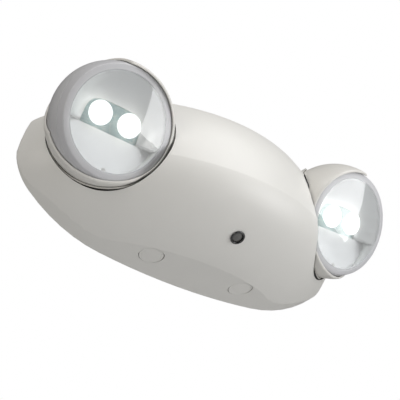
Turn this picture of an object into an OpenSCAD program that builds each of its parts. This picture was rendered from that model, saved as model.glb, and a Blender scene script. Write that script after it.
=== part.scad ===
// Twin head emergency light: a wall housing with a swivelling ball lamp at each end.
// The back of the housing lies in the plane y = 0, the front faces -Y and +Z is up.
// The origin is the middle of the back, where the junction box screws are centred.

/* [Housing] */
// Length of the housing from tip to tip
body_len = 284; // [280:0.5:290]
// Height of the housing
body_h = 115; // [112:0.5:120]
// Depth from the wall to the ridge at the middle
body_depth = 86.5; // [84:0.5:90]
// Radius of the front in plan
plan_r = 159; // [157:0.5:164]
// Radius of the long top and bottom edges
edge_r = 586; // [500:1:700]
// Radius of the four shoulders
shoulder_r = 116; // [110:1:122]
// Radius of the two tips
tip_r = 36; // [34:0.5:38]
// How far the ridge lies below the middle
ridge_drop = 3.8; // [2:0.1:6]
// How far the lower face falls back to the bottom edge
lower_fall = 88; // [84:1:90]
// How far the upper face rounds back to the top edge
upper_fall = 31; // [26:1:34]
// Lean of the upper face, as a share of its height
upper_lean_share = 0.135; // [0.1:0.005:0.17]
// Draft of the side wall in degrees
side_draft = 8; // [6:0.5:10]
// Draft of the two tips in degrees
tip_draft = 28; // [20:1:32]
// Wall of the housing
wall = 2.5; // [2.2:0.1:3]

/* [Lamp heads] */
// Ball centre from the middle of the housing
ball_x = 103.5; // [102.5:0.5:105]
// Ball centre from the wall
ball_y = 51.4; // [50.8:0.1:53]
// Ball centre above the middle of the housing
ball_z = 13.5; // [11:0.5:15]
// Outer radius of the ball hood
hood_r = 43.4; // [43:0.1:43.6]
// Wall of the ball hood
hood_wall = 1.7; // [1.4:0.1:2]
// Running gap between hood and lamp
lamp_gap = 0.5; // [0.4:0.05:0.8]
// Height of the hood rim beside the pivot pins, beyond the ball centre
rim_top = 14.5; // [13.5:0.1:15.5]
// Radius of the bow that the hood rim follows from side to side
rim_bow_r = 106.6; // [104:0.2:110]
// How far the middle of that bow lies towards the middle of the housing
rim_bow_x = 13.8; // [12.5:0.1:15]
// Distance from the ball centre of the slanting cut that opens the hood above and outward
rim_cut = 23.3; // [23:0.1:24]
// Lean of that cut in degrees
rim_cut_lean = 66; // [65.5:0.1:66.5]
// Turn of that cut about the rim's own axis in degrees
rim_cut_turn = 29.8; // [29:0.2:30.6]
// How far the lamp tilts outward in degrees
tilt_out = 16; // [12:1:16]
// How far the lamp tilts inward in degrees
tilt_in = 8; // [6:1:8]
// Outward turn of the hood rim in degrees
rim_out = 13.4; // [12:0.2:16]
// Downward turn of the hood rim in degrees
rim_down = 23.6; // [21:0.2:25]
// Turn of the lamp in its hood towards the middle, in degrees
lamp_yaw = 5.4; // [3:0.2:7]
// Outward turn of the swivel axis in degrees
seat_out = 38; // [37:0.5:39]
// Distance of the seat plane behind the ball centre
seat_lift = 13.5; // [13:0.1:14.5]

/* [Seat and swivel] */
// Radius of the opening that holds the trim ring
pocket_r = 43.6; // [43.4:0.1:44]
// Wall round the seat opening
seat_wall = 1.3; // [1.1:0.1:1.8]
// Depth of the trim ring in its opening
ring_depth = 4; // [3:0.2:5]
// Height of the trim ring above the seat plane
ring_proud = 1; // [0.4:0.1:1.4]
// Distance of the hood foot behind the ball centre
foot_drop = 25.7; // [25:0.1:26.2]
// Thickness of the hood foot
foot_t = 1.8; // [1.4:0.1:2]
// Thickness of the seat floor
floor_t = 2; // [1.6:0.1:2.4]
// Radius of the swivel neck
neck_r = 12; // [10:0.5:13]
// Wall of the swivel neck
neck_wall = 3; // [2:0.1:3.5]
// Radius of the swivel nut
nut_r = 18; // [16:0.5:19]
// Thickness of the swivel nut
nut_t = 4; // [3:0.5:5]
// Thickness of the friction washer
washer_t = 1; // [0.6:0.1:1.4]

/* [Lamp] */
// Distance of the lens shoulder beyond the ball centre
shoulder_h = 14.8; // [14:0.1:15.4]
// Distance of the lens edge beyond the ball centre
skirt_h = 8; // [7.5:0.1:8.6]
// Rise of the domed lens front above its shoulder
dome_rise = 4.5; // [3.8:0.1:6]
// Wall of the lens
lens_wall = 1.5; // [1.2:0.1:1.8]
// Wall of the lamp shell
shell_wall = 1.8; // [1.4:0.1:2.2]
// Radius of the reflector opening
aperture_r = 33.6; // [33:0.1:34.2]
// Thickness of the reflector
reflector_t = 1.2; // [1:0.1:1.4]
// Distance of the light board face beyond the ball centre
led_face_h = 2; // [1.6:0.1:2.4]
// Length of the light board
led_board_l = 45; // [44:0.5:46]
// Width of the light board
led_board_w = 22; // [21:0.5:23]
// Thickness of the light board
led_board_t = 1.6; // [1:0.1:2]
// Radius of one light optic
optic_r = 8.4; // [7.5:0.1:8.8]
// Height of one light optic
optic_h = 6; // [5:0.2:6.4]
// Distance between the two optics
optic_pitch = 22; // [20:0.5:23]
// Radius of the heat sink
sink_r = 17; // [15.5:0.5:18]
// Height of the heat sink
sink_h = 8; // [6:0.5:8.5]
// Radius of the pivot pins
pin_r = 2; // [1.5:0.1:2.3]

/* [Test button and plugs] */
// Radius of the button
button_r = 3.6; // [3.2:0.1:4]
// Wall of the button bezel
bezel_wall = 1.1; // [0.9:0.1:1.4]
// Travel of the button
button_travel = 1.2; // [0.8:0.1:1.4]
// Height of the button centre below the middle
button_drop = 39.4; // [38:0.2:41]
// Radius of the conduit plugs in the underside
plug_r = 8.6; // [8:0.1:9.4]
// Distance of each conduit plug from the middle
plug_x = 40; // [38:0.5:42]
// Distance of the conduit plugs from the wall
plug_y = 22; // [21:0.5:23]

/* [Back plate and mounting] */
// Thickness of the back plate
plate_t = 3; // [2.5:0.1:3.4]
// Screw spacing of a single wall box
gang_pitch = 83.3; // [82.5:0.1:84]
// Screw spacing of a round ceiling box
round_pitch = 88.9; // [88:0.1:90]
// Radius of the mounting screw slots
mount_hole_r = 2.4; // [2:0.1:2.6]
// Radius of the supply wire bushing bore
wire_bore_r = 7; // [6:0.5:8]

/* [Inside] */
// Radius of one battery cell
cell_r = 11.5; // [10.5:0.1:11.7]
// Length of one battery cell
cell_l = 43; // [40:0.5:43.5]
// Width of the charger board
pcb_w = 46; // [45:0.5:47]
// Height of the charger board
pcb_h = 70; // [69:0.5:74]
// Thickness of the charger board
pcb_t = 1.6; // [1.2:0.1:2]
// Height of the charger board above the back plate
pcb_stand = 6; // [5:0.2:7]

/* [Hidden] */

$fn = 96;
// Overrun of every cut
over = 1;
// Gaps between seated pieces, between a shaft and its hole, and round a screw or sleeve
face_gap = 0.3;
run_gap = 0.06;
thin_gap = 0.1;

// Self-cutting screws: shank, head, drive recess
screw_r = 1.2;
screw_head_r = 2.3;
screw_head_t = 1.5;
drive_r = 1.1;
drive_t = 0.8;
post_r = 2.8;

// Points along each rounded face of the front, and how far the faces and tips overshoot
lower_steps = 14;
upper_steps = 10;
face_margin = 0.3;
tip_margin = 0.2;

// Arc centres of the outline, drawn as [x, z]
edge_c = [0, body_h / 2 - edge_r];
tip_c = [body_len / 2 - tip_r, 0];
plan_y = plan_r - body_depth;

// A shoulder arc touches the long edge and the tip from inside, which gives its centre
edge_reach = edge_r - shoulder_r;
tip_reach = shoulder_r - tip_r;
span = norm(tip_c - edge_c);
span_u = (tip_c - edge_c) / span;
along = (edge_reach * edge_reach - tip_reach * tip_reach + span * span) / (2 * span);
aside = sqrt(edge_reach * edge_reach - along * along);
shoulder_c = edge_c + span_u * along + [-span_u.y, span_u.x] * aside;

// Directions in which the arcs of the outline meet, and the straight steps that each arc gets
tip_turn = atan2(tip_c.y - shoulder_c.y, tip_c.x - shoulder_c.x);
edge_turn = atan2(shoulder_c.y - edge_c.y, shoulder_c.x - edge_c.x);
half_turn = 180;
full_turn = 360;
tip_steps = 16;
shoulder_steps = 6;
edge_steps = 10;

// Derived sizes of the ball, its seat and its swivel
hood_in = hood_r - hood_wall;
rim_bow_h = sqrt(rim_bow_r * rim_bow_r - rim_bow_x * rim_bow_x);
lamp_r = hood_in - lamp_gap;
shell_in = lamp_r - shell_wall;
bowl_r = hood_r + 2 * face_gap;
ledge_t = 2;
collar_r = pocket_r + seat_wall;
ring_ledge = seat_lift + ring_depth;
ring_top = seat_lift - ring_proud;
ring_r = sqrt(hood_r * hood_r - ring_top * ring_top) + face_gap;
floor_drop = foot_drop + face_gap;
floor_low = floor_drop + floor_t;
floor_r = sqrt(pow(bowl_r + floor_t, 2) - floor_low * floor_low);
washer_drop = floor_low + face_gap;
nut_drop = washer_drop + washer_t + face_gap;
neck_end = nut_drop + nut_t + face_gap;
nut_grips = 6;
grip_r = 2.2;

// Derived sizes of the lamp; its back is trimmed where it would meet the hood foot when tilted
lamp_trim = (foot_drop - foot_t - lamp_gap) * cos((tilt_out + tilt_in) / 2);
pin_axis = [sin(rim_down) * sin(rim_out), -sin(rim_down) * cos(rim_out), cos(rim_down)];
lens_edge_r = sqrt(lamp_r * lamp_r - shoulder_h * shoulder_h);
dome_r = (lens_edge_r * lens_edge_r + dome_rise * dome_rise) / (2 * dome_rise);
dome_c = shoulder_h + dome_rise - dome_r;
bulkhead_h = 4;
bulkhead_t = 1.6;
pad_r = 24;
aperture_h = dome_c + sqrt(pow(dome_r - lens_wall, 2) - pow(aperture_r, 2)) - 2 * face_gap;
flange_w = 2;
bowl_floor_r = 27.5;
bowl_mid_r = 32.2;
bowl_mid_share = 0.45;
reflector_h = led_face_h + face_gap;
board_turn = 8;
board_up = 2;
board_lip = 1;
facet_run_share = 0.9;
facet_rise_share = 0.88;
fin_count = 5;
fin_pitch = 6.5;
fin_t = 1.6;
sink_base_t = 2;
sink_screw_x = 9;
sink_top = bulkhead_h + bulkhead_t + face_gap;
optic_foot_share = 0.62;
optic_rim_share = 0.3;
pin_head_r = 3.2;
pin_head_t = 0.8;

// Place of the test button on the lower face, and how the face leans there
low_h = body_h / 2 - ridge_drop + face_margin;
high_h = body_h / 2 + ridge_drop + face_margin;
button_angle = asin((button_drop - ridge_drop) / low_h);
button_y = body_depth - lower_fall * (1 - cos(button_angle));
button_tilt = atan2(lower_fall * sin(button_angle), low_h * cos(button_angle));
sleeve_r = button_r + bezel_wall;
bezel_lip = 0.7;
bezel_t = 1;
bezel_deep = 0.6;
button_low = wall + bezel_deep + face_gap;
button_sink = 0.25;
keeper_t = 1.2;
keeper_w = 0.9;
switch_top = button_low + keeper_t + button_travel + face_gap;
plunger_r = 1.7;
plunger_h = 0.9;
switch_side = 6;
switch_h = 3.5;
switch_board_h = switch_top + plunger_h + switch_h + face_gap;
switch_board_l = 26;
switch_board_w = 11;
switch_post_x = 9.4;
switch_screw_l = 6;

// Height of the underside at a conduit plug, and its slight turn with the long edge
plug_edge_r = edge_r - plug_y * tan(side_draft);
plug_edge = edge_c.y + sqrt(plug_edge_r * plug_edge_r - plug_x * plug_x);
plug_roll = asin(plug_x / plug_edge_r);
plug_groove = 0.35;
plug_sink = 0.2;
plug_lean = 11.5;
plug_deep = 4.6;
plug_flange_w = 1.6;
plug_flange_t = 1.2;

// Back plate fittings and wire bushing
tab_x = 34;
tab_w = 14;
tab_l = 6.5;
tab_t = 2;
bushing_t = 1.5;
bushing_lip = 1.4;
bushing_wall = 3.6;
wire_hole_r = wire_bore_r + bushing_wall + face_gap;

// Battery pack and its straps
battery_x = -39;
cell_pitch = 2 * cell_r + face_gap;
wrap_t = 0.8;
wrap_in = cell_r + face_gap;
wrap_out = wrap_in + wrap_t;
cell_y = plate_t + face_gap + wrap_out;
cap_r = 3.2;
cap_h = 1;
strap_t = 1.5;
strap_w = 12;
strap_foot = 8;
strap_z = cell_l / 2;
strap_in = wrap_out + face_gap;
strap_out = strap_in + strap_t;

// Charger board and what it carries: [x, z] from the board's middle, then sizes
pcb_x = 38;
pcb_inset = 3.6;
pcb_face = plate_t + pcb_stand + pcb_t;
part_base = pcb_face + face_gap;
core_at = [3, 16];
core_size = [32, 26, 20];
coil_size = [19, 34, 15];
relay_at = [-9, -14];
relay_size = [19, 15.5, 15];
relay_step = 1.2;
cap_places = [[7, -12], [16, -8], [16, -18]];
cap_radii = [5, 4, 4];
cap_heights = [16, 12, 12];
cap_score = 0.6;
block_at = [0, -28.5];
block_size = [24, 9, 10];
block_ways = 4;
block_hole_r = 1.7;
plug_places = [[-18.5, 10], [-18.5, 22]];
plug_size = [6, 8, 6];
plug_pin_r = 0.5;
plug_pin_at = 1.6;
plug_wall = 1;

// Turns straight ahead into an outward and downward aim, for the head on the right
module aim(out, down) {
    rotate([90 + down, 0, out]) children();
}

// Puts what is made for the right side on either side
module on_side(side) {
    if (side > 0) {
        children();
    } else {
        mirror([1, 0, 0]) children();
    }
}

// Swivel frame: origin at the ball centre, local Z out along the swivel axis
module swivel_frame(side) {
    on_side(side) translate([ball_x, -ball_y, ball_z]) aim(seat_out, 0) children();
}

// Rim frame: local Z square to the hood rim, local Y through the pivot pins
module rim_frame(side) {
    on_side(side) translate([ball_x, -ball_y, ball_z]) aim(rim_out, rim_down) children();
}

// Lamp frame: the rim frame turned about the pivot pins
module lamp_frame(side) {
    rim_frame(side) rotate([0, -lamp_yaw, 0]) children();
}

// The pins lie on the rim frame's local Y; local Z here runs outward along one pin
module pin_place(side, s) {
    rim_frame(side) rotate([-90 * s, 0, 0]) children();
}

// Button frame: local Z square out of the lower face
module button_frame() {
    translate([0, -button_y, -button_drop]) aim(0, button_tilt) children();
}

// Plug frame: local Z square out of the underside
module plug_frame(side) {
    on_side(side) translate([plug_x, -plug_y, -plug_edge]) rotate([180 - plug_lean, 0, 0])
        rotate([0, plug_roll, 0]) children();
}

// Wall frame: local Z away from the wall, local X along it and local Y up
module wall_frame(x, z) {
    translate([x, 0, z]) rotate([90, 0, 0]) children();
}

// A block centred in its first two sizes, standing on its base
module block(size) {
    translate([-size.x / 2, -size.y / 2, 0]) cube(size);
}

// A screw whose head stands on its base, with its shank below
module screw(shank_l) {
    difference() {
        union() {
            cylinder(h = screw_head_t, r = screw_head_r, $fn = 32);
            translate([0, 0, -shank_l]) cylinder(h = shank_l + screw_head_t / 2, r = screw_r, $fn = 24);
        }
        translate([0, 0, screw_head_t - drive_t]) cylinder(h = drive_t + over, r = drive_r, $fn = 6);
    }
}

// Points along one arc of the outline, the last one left to the next arc
function arc_points(centre, r, from, to, steps) = [for (i = [0 : steps - 1])
    let (a = from + (to - from) * i / steps) centre + r * [cos(a), sin(a)]];

// The outline drawn in by some distance, once round from the shoulder above the tip on the right
function outline(inset) = concat(
    arc_points(shoulder_c, shoulder_r - inset, tip_turn, edge_turn, shoulder_steps),
    arc_points(edge_c, edge_r - inset, edge_turn, half_turn - edge_turn, edge_steps),
    arc_points([-shoulder_c.x, shoulder_c.y], shoulder_r - inset,
        half_turn - edge_turn, half_turn - tip_turn, shoulder_steps),
    arc_points(-tip_c, tip_r - inset, half_turn - tip_turn, half_turn + tip_turn, tip_steps),
    arc_points(-shoulder_c, shoulder_r - inset, half_turn + tip_turn, half_turn + edge_turn,
        shoulder_steps),
    arc_points(-edge_c, edge_r - inset, half_turn + edge_turn, full_turn - edge_turn, edge_steps),
    arc_points([shoulder_c.x, -shoulder_c.y], shoulder_r - inset,
        full_turn - edge_turn, full_turn - tip_turn, shoulder_steps),
    arc_points(tip_c, tip_r - inset, -tip_turn, tip_turn, tip_steps));

// A column from the wall forward whose side leans in with the draft
module outline_column(inset, depth) {
    near = outline(inset);
    far = outline(inset + depth * tan(side_draft));
    n = len(near);
    polyhedron(
        points = concat([for (p = near) [p.x, 0, p.y]], [for (p = far) [p.x, -depth, p.y]]),
        faces = concat([[for (i = [0 : n - 1]) i], [for (i = [n - 1 : -1 : 0]) n + i]],
            [for (i = [0 : n - 1]) let (j = (i + 1) % n) [i, n + i, n + j, j]]));
}

// The rounded faces above and below the ridge, turned about an upright axis
module front_turning(inset) {
    low_z = low_h - inset;
    high_z = high_h - inset;
    low = [for (i = [0 : lower_steps]) let (a = 90 * i / lower_steps)
        [plan_r - inset - lower_fall * (1 - cos(a)), -ridge_drop - low_z * sin(a)]];
    high = [for (i = [upper_steps : -1 : 1]) let (a = 90 * i / upper_steps)
        [plan_r - inset - upper_fall * (1 - cos(a)) - upper_lean_share * high_z * sin(a),
            -ridge_drop + high_z * sin(a)]];
    translate([0, plan_y, 0]) rotate_extrude($fn = 112)
        polygon(concat([[0, high_z - ridge_drop]], high, low, [[0, -ridge_drop - low_z]]));
}

// The body of the housing as a solid; an inset gives its hollow, a lead carries it behind the wall
module housing_solid(inset, lead) {
    depth = body_depth + lead + over;
    tip_far_r = body_len / 2 + tip_margin - inset;
    intersection() {
        translate([0, lead, 0]) outline_column(inset, depth);
        front_turning(inset);
        translate([0, lead, 0]) rotate([90, 0, 0])
            cylinder(h = depth, r1 = tip_far_r, r2 = tip_far_r - depth * tan(tip_draft));
    }
}

// The ledge under the trim ring and the bowl wall round one ball
module seat_boss() {
    low = ring_ledge + ledge_t;
    translate([0, 0, -floor_low])
        cylinder(h = floor_low - low, r1 = floor_r, r2 = sqrt(pow(bowl_r + seat_wall, 2) - low * low));
}

// What one ball seat takes out of the housing
module seat_cut() {
    translate([0, 0, -ring_ledge]) cylinder(h = ring_ledge + hood_r, r = pocket_r);
    intersection() {
        sphere(r = bowl_r);
        translate([0, 0, -floor_drop]) cylinder(h = floor_drop, r = pocket_r);
    }
    translate([0, 0, -neck_end]) cylinder(h = neck_end, r = neck_r + run_gap);
}

module switch_posts() {
    for (s = [-1, 1]) translate([s * switch_post_x, 0, -switch_board_h + face_gap])
        cylinder(h = switch_board_h - face_gap - wall / 2, r = post_r);
}

module front_cover() {
    color("whitesmoke") difference() {
        union() {
            difference() {
                housing_solid(0, 0);
                housing_solid(wall, over);
            }
            for (s = [-1, 1]) {
                swivel_frame(s) seat_boss();
                intersection() {
                    housing_solid(0, 0);
                    swivel_frame(s) translate([0, 0, -ring_ledge - ledge_t])
                        cylinder(h = ring_ledge + ledge_t + hood_r, r = collar_r);
                }
            }
            button_frame() switch_posts();
        }
        for (s = [-1, 1]) {
            swivel_frame(s) seat_cut();
            plug_frame(s) translate([0, 0, -plug_deep - over])
                cylinder(h = plug_deep + 2 * over, r = plug_r + plug_groove);
            button_frame() translate([s * switch_post_x, 0, -switch_board_h - over])
                cylinder(h = switch_screw_l + over, r = screw_r + thin_gap);
        }
        button_frame() translate([0, 0, -2 * wall]) cylinder(h = 3 * wall, r = sleeve_r + thin_gap);
    }
}

// Trim ring round a ball, open where the housing's skin falls away below it
module seat_ring(side) {
    color("gainsboro") intersection() {
        swivel_frame(side) translate([0, 0, -ring_ledge + face_gap]) difference() {
            cylinder(h = ring_depth + ring_proud - face_gap, r = pocket_r - face_gap);
            translate([0, 0, -over]) cylinder(h = ring_depth + ring_proud + 2 * over, r = ring_r);
        }
        housing_solid(-ring_proud, 0);
    }
}

// A plug lies level with the skin and has a flange inside
module conduit_plug(side) {
    color("whitesmoke") plug_frame(side) translate([0, 0, -plug_deep]) {
        cylinder(h = plug_deep - plug_sink, r = plug_r);
        cylinder(h = plug_flange_t, r = plug_r + plug_flange_w);
    }
}

// Height of the inside of the cover above the middle, at a place along it and a depth
function cover_inside(x, depth) =
    edge_c.y + sqrt(pow(edge_r - wall - depth * tan(side_draft), 2) - x * x);

module board_places() {
    for (sx = [-1, 1], sz = [-1, 1])
        wall_frame(pcb_x + sx * (pcb_w / 2 - pcb_inset), sz * (pcb_h / 2 - pcb_inset)) children();
}

module strap_places() {
    for (sx = [-1, 1], sz = [-1, 1])
        wall_frame(battery_x + sx * (cell_pitch / 2 + strap_out + strap_foot / 2), sz * strap_z)
            children();
}

// Slots that take the screws of a single box and of a round box
module mount_slots() {
    slot_mid = (gang_pitch + round_pitch) / 4;
    slot_half = (round_pitch - gang_pitch) / 4;
    for (s = [-1, 1]) translate([0, s * slot_mid, -over]) {
        for (e = [-1, 1]) translate([0, e * slot_half, 0])
            cylinder(h = plate_t + 2 * over, r = mount_hole_r);
        block([2 * mount_hole_r, 2 * slot_half, plate_t + 2 * over]);
    }
}

module back_plate() {
    tab_z = cover_inside(tab_x + tab_w / 2, plate_t + tab_l) - face_gap - tab_t;
    color("whitesmoke") difference() {
        union() {
            intersection() {
                housing_solid(wall + face_gap, 0);
                wall_frame(0, 0) block([body_len, body_h, plate_t]);
            }
            board_places() translate([0, 0, plate_t / 2])
                cylinder(h = plate_t / 2 + pcb_stand - face_gap, r = post_r);
            for (sx = [-1, 1], sz = [-1, 1])
                wall_frame(sx * tab_x, sz * (tab_z + tab_t / 2)) translate([0, 0, plate_t / 2])
                    block([tab_w, tab_t, plate_t / 2 + tab_l]);
        }
        wall_frame(0, 0) translate([0, 0, -over]) cylinder(h = plate_t + 2 * over, r = wire_hole_r);
        wall_frame(0, 0) mount_slots();
        board_places() translate([0, 0, plate_t]) cylinder(h = pcb_stand + over, r = screw_r + thin_gap);
        strap_places() translate([0, 0, plate_t / 3]) cylinder(h = plate_t, r = screw_r + thin_gap);
    }
}

module wire_bushing() {
    color("dimgray") wall_frame(0, 0) difference() {
        union() {
            translate([0, 0, face_gap])
                cylinder(h = plate_t + bushing_t, r = wire_bore_r + bushing_wall);
            translate([0, 0, plate_t + face_gap]) cylinder(h = bushing_t, r = wire_hole_r + bushing_lip);
        }
        translate([0, 0, -over]) cylinder(h = plate_t + bushing_t + 3 * over, r = wire_bore_r);
    }
}

module button_bezel() {
    color("black") button_frame() difference() {
        union() {
            translate([0, 0, face_gap]) cylinder(h = bezel_t, r = sleeve_r + bezel_lip);
            translate([0, 0, -wall - bezel_deep])
                cylinder(h = wall + bezel_deep + face_gap + bezel_t / 2, r = sleeve_r);
        }
        translate([0, 0, -wall - bezel_deep - over])
            cylinder(h = wall + bezel_deep + bezel_t + 3 * over, r = button_r + run_gap);
    }
}

module test_button() {
    color("gray") button_frame() {
        translate([0, 0, -button_low - keeper_t])
            cylinder(h = button_low + keeper_t + face_gap + bezel_t - button_sink, r = button_r);
        translate([0, 0, -button_low - keeper_t]) cylinder(h = keeper_t, r = button_r + keeper_w);
    }
}

module test_switch() {
    color("darkslategray") button_frame() {
        translate([0, 0, -switch_top - plunger_h - switch_h])
            block([switch_side, switch_side, switch_h]);
        translate([0, 0, -switch_top - plunger_h - switch_h / 2])
            cylinder(h = plunger_h + switch_h / 2, r = plunger_r, $fn = 32);
    }
}

module switch_board() {
    color("seagreen") button_frame() translate([0, 0, -switch_board_h - pcb_t]) difference() {
        block([switch_board_l, switch_board_w, pcb_t]);
        for (s = [-1, 1]) translate([s * switch_post_x, 0, -over])
            cylinder(h = pcb_t + 2 * over, r = screw_r + thin_gap);
    }
}

module switch_screws() {
    color("silver") button_frame() for (s = [-1, 1])
        translate([s * switch_post_x, 0, -switch_board_h - pcb_t - face_gap]) rotate([180, 0, 0])
            screw(switch_screw_l);
}

module battery_outline(r) {
    for (s = [-1, 1]) translate([battery_x + s * cell_pitch / 2, -cell_y]) circle(r = r);
    translate([battery_x - cell_pitch / 2, -cell_y - r]) square([cell_pitch, 2 * r]);
}

module battery_cells() {
    color("darkolivegreen") for (sx = [-1, 1], sz = [-1, 1])
        translate([battery_x + sx * cell_pitch / 2, -cell_y, sz * (cell_l + face_gap) / 2]) {
            translate([0, 0, -cell_l / 2]) cylinder(h = cell_l - cap_h, r = cell_r);
            cylinder(h = cell_l / 2, r = cap_r);
        }
}

module battery_wrap() {
    color("steelblue") translate([0, 0, -cell_l]) linear_extrude(2 * cell_l) difference() {
        battery_outline(wrap_out);
        battery_outline(wrap_in);
    }
}

// Half of the strap's outline, carried back towards the wall
module strap_arch(r, low) {
    battery_outline(r);
    translate([battery_x - cell_pitch / 2 - r, -cell_y]) square([cell_pitch + 2 * r, cell_y - low]);
}

module battery_straps() {
    foot_y = plate_t + face_gap;
    foot_x = cell_pitch / 2 + strap_out;
    color("silver") for (sz = [-1, 1]) difference() {
        translate([0, 0, sz * strap_z - strap_w / 2]) linear_extrude(strap_w) {
            difference() {
                strap_arch(strap_out, foot_y);
                strap_arch(strap_in, 0);
            }
            for (s = [-1, 1])
                translate([battery_x + s * (foot_x + strap_foot / 2 - strap_t / 2), -foot_y - strap_t / 2])
                    square([strap_foot + strap_t, strap_t], center = true);
        }
        strap_places() cylinder(h = plate_t + strap_t + 2 * over, r = screw_r + thin_gap);
    }
}

module strap_screws() {
    color("silver") strap_places() translate([0, 0, plate_t + strap_t + 2 * face_gap])
        screw(strap_t + plate_t / 2);
}

module charger_board() {
    color("seagreen") difference() {
        wall_frame(pcb_x, 0) translate([0, 0, plate_t + pcb_stand]) block([pcb_w, pcb_h, pcb_t]);
        board_places() cylinder(h = pcb_face + over, r = screw_r + thin_gap);
    }
}

module board_screws() {
    color("silver") board_places() translate([0, 0, part_base]) screw(pcb_t + pcb_stand - over);
}

module on_board(at) {
    wall_frame(pcb_x + at.x, at.y) translate([0, 0, part_base]) children();
}

// The core is a frame of iron round the coil, with a middle leg through it
module transformer_core() {
    lift = (core_size.z - coil_size.z) / 2;
    leg = (core_size.x - coil_size.x) / 2;
    color("dimgray") on_board(core_at) {
        difference() {
            block(core_size);
            translate([0, 0, lift - face_gap])
                block([coil_size.x + 2 * face_gap, coil_size.y, coil_size.z + 2 * face_gap]);
        }
        translate([0, 0, lift / 2]) block([leg, core_size.y, core_size.z - lift]);
    }
}

module transformer_coil() {
    lift = (core_size.z - coil_size.z) / 2;
    leg = (core_size.x - coil_size.x) / 2;
    color("goldenrod") on_board(core_at) translate([0, 0, lift]) difference() {
        block(coil_size);
        translate([0, 0, -over])
            block([leg + 2 * face_gap, core_size.y + 2 * face_gap, coil_size.z + 2 * over]);
    }
}

module relay() {
    color("royalblue") on_board(relay_at) {
        block([relay_size.x, relay_size.y, relay_size.z - relay_step]);
        block([relay_size.x - 2 * relay_step, relay_size.y - 2 * relay_step, relay_size.z]);
    }
}

module capacitors() {
    color("black") for (i = [0 : len(cap_radii) - 1]) on_board(cap_places[i]) difference() {
        cylinder(h = cap_heights[i], r = cap_radii[i], $fn = 48);
        translate([0, 0, cap_heights[i] - cap_score])
            block([2 * cap_radii[i] + over, cap_score, cap_score + over]);
    }
}

module terminal_block() {
    way = block_size.x / block_ways;
    color("green") on_board(block_at) difference() {
        block(block_size);
        for (i = [0 : block_ways - 1]) translate([(i + 0.5) * way - block_size.x / 2, 0, 0]) {
            translate([0, 0, block_size.z / 3]) rotate([90, 0, 0])
                cylinder(h = block_size.y, r = block_hole_r, $fn = 32);
            translate([0, 0, block_size.z / 2]) cylinder(h = block_size.z, r = block_hole_r, $fn = 32);
        }
    }
}

module lamp_connectors() {
    color("ivory") for (at = plug_places) on_board(at) {
        difference() {
            block(plug_size);
            translate([0, 0, plug_wall])
                block([plug_size.x - 2 * plug_wall, plug_size.y - 2 * plug_wall, plug_size.z]);
        }
        for (s = [-1, 1]) translate([0, s * plug_pin_at, 0])
            cylinder(h = plug_size.z, r = plug_pin_r, $fn = 24);
    }
}

// Ball hood: a sphere cut at its foot and along a bowed rim, high at the pins and low at the sides,
// opened by a slanting cut above and outward, with the swivel neck behind
module hood(side) {
    color("whitesmoke") difference() {
        union() {
            intersection() {
                difference() {
                    swivel_frame(side) sphere(r = hood_r);
                    intersection() {
                        swivel_frame(side) sphere(r = hood_in);
                        swivel_frame(side) translate([0, 0, foot_t - foot_drop])
                            cylinder(h = 2 * hood_r, r = hood_r + over);
                    }
                }
                swivel_frame(side) translate([0, 0, -foot_drop])
                    cylinder(h = foot_drop + hood_r, r = hood_r + over);
                rim_frame(side) translate([-rim_bow_x, 0, rim_top - rim_bow_h]) rotate([90, 0, 0])
                    cylinder(h = 2 * hood_r + 2 * over, r = rim_bow_r, center = true);
                rim_frame(side) rotate([0, rim_cut_lean, rim_cut_turn])
                    translate([0, 0, -2 * hood_r]) cylinder(h = 2 * hood_r + rim_cut, r = 2 * hood_r);
            }
            swivel_frame(side) translate([0, 0, -neck_end])
                cylinder(h = neck_end - foot_drop + foot_t / 2, r = neck_r);
        }
        swivel_frame(side) translate([0, 0, -neck_end - over])
            cylinder(h = neck_end - foot_drop + foot_t + 2 * over, r = neck_r - neck_wall);
        for (s = [-1, 1]) pin_place(side, s) cylinder(h = hood_r, r = pin_r + thin_gap, $fn = 48);
    }
}

module pivot_pins(side) {
    head_low = sqrt(shell_in * shell_in - pin_head_r * pin_head_r) - face_gap - pin_head_t;
    pin_l = sqrt(hood_r * hood_r - pin_r * pin_r) - thin_gap - head_low;
    color("silver") for (s = [-1, 1]) pin_place(side, s) translate([0, 0, head_low]) {
        cylinder(h = pin_head_t, r = pin_head_r, $fn = 48);
        cylinder(h = pin_l, r = pin_r, $fn = 48);
    }
}

module swivel_nut(side) {
    color("gray") swivel_frame(side) translate([0, 0, -nut_drop - nut_t]) difference() {
        cylinder(h = nut_t, r = nut_r);
        translate([0, 0, -over]) cylinder(h = nut_t + 2 * over, r = neck_r + run_gap);
        for (i = [0 : nut_grips - 1]) rotate([0, 0, 360 * i / nut_grips]) translate([nut_r, 0, -over])
            cylinder(h = nut_t + 2 * over, r = grip_r, $fn = 32);
    }
}

module friction_washer(side) {
    color("black") swivel_frame(side) translate([0, 0, -washer_drop - washer_t]) difference() {
        cylinder(h = washer_t, r = nut_r);
        translate([0, 0, -over]) cylinder(h = washer_t + 2 * over, r = neck_r + run_gap);
    }
}

// Lens: a skirt on the ball's own sphere, then a flatter dome
module lens(side) {
    color("lightcyan", 0.4) lamp_frame(side) difference() {
        intersection() {
            sphere(r = lamp_r);
            translate([0, 0, skirt_h]) cylinder(h = lamp_r, r = lamp_r);
            translate([0, 0, dome_c]) sphere(r = dome_r, $fn = 180);
        }
        intersection() {
            sphere(r = lamp_r - lens_wall);
            translate([0, 0, dome_c]) sphere(r = dome_r - lens_wall, $fn = 180);
        }
    }
}

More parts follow.
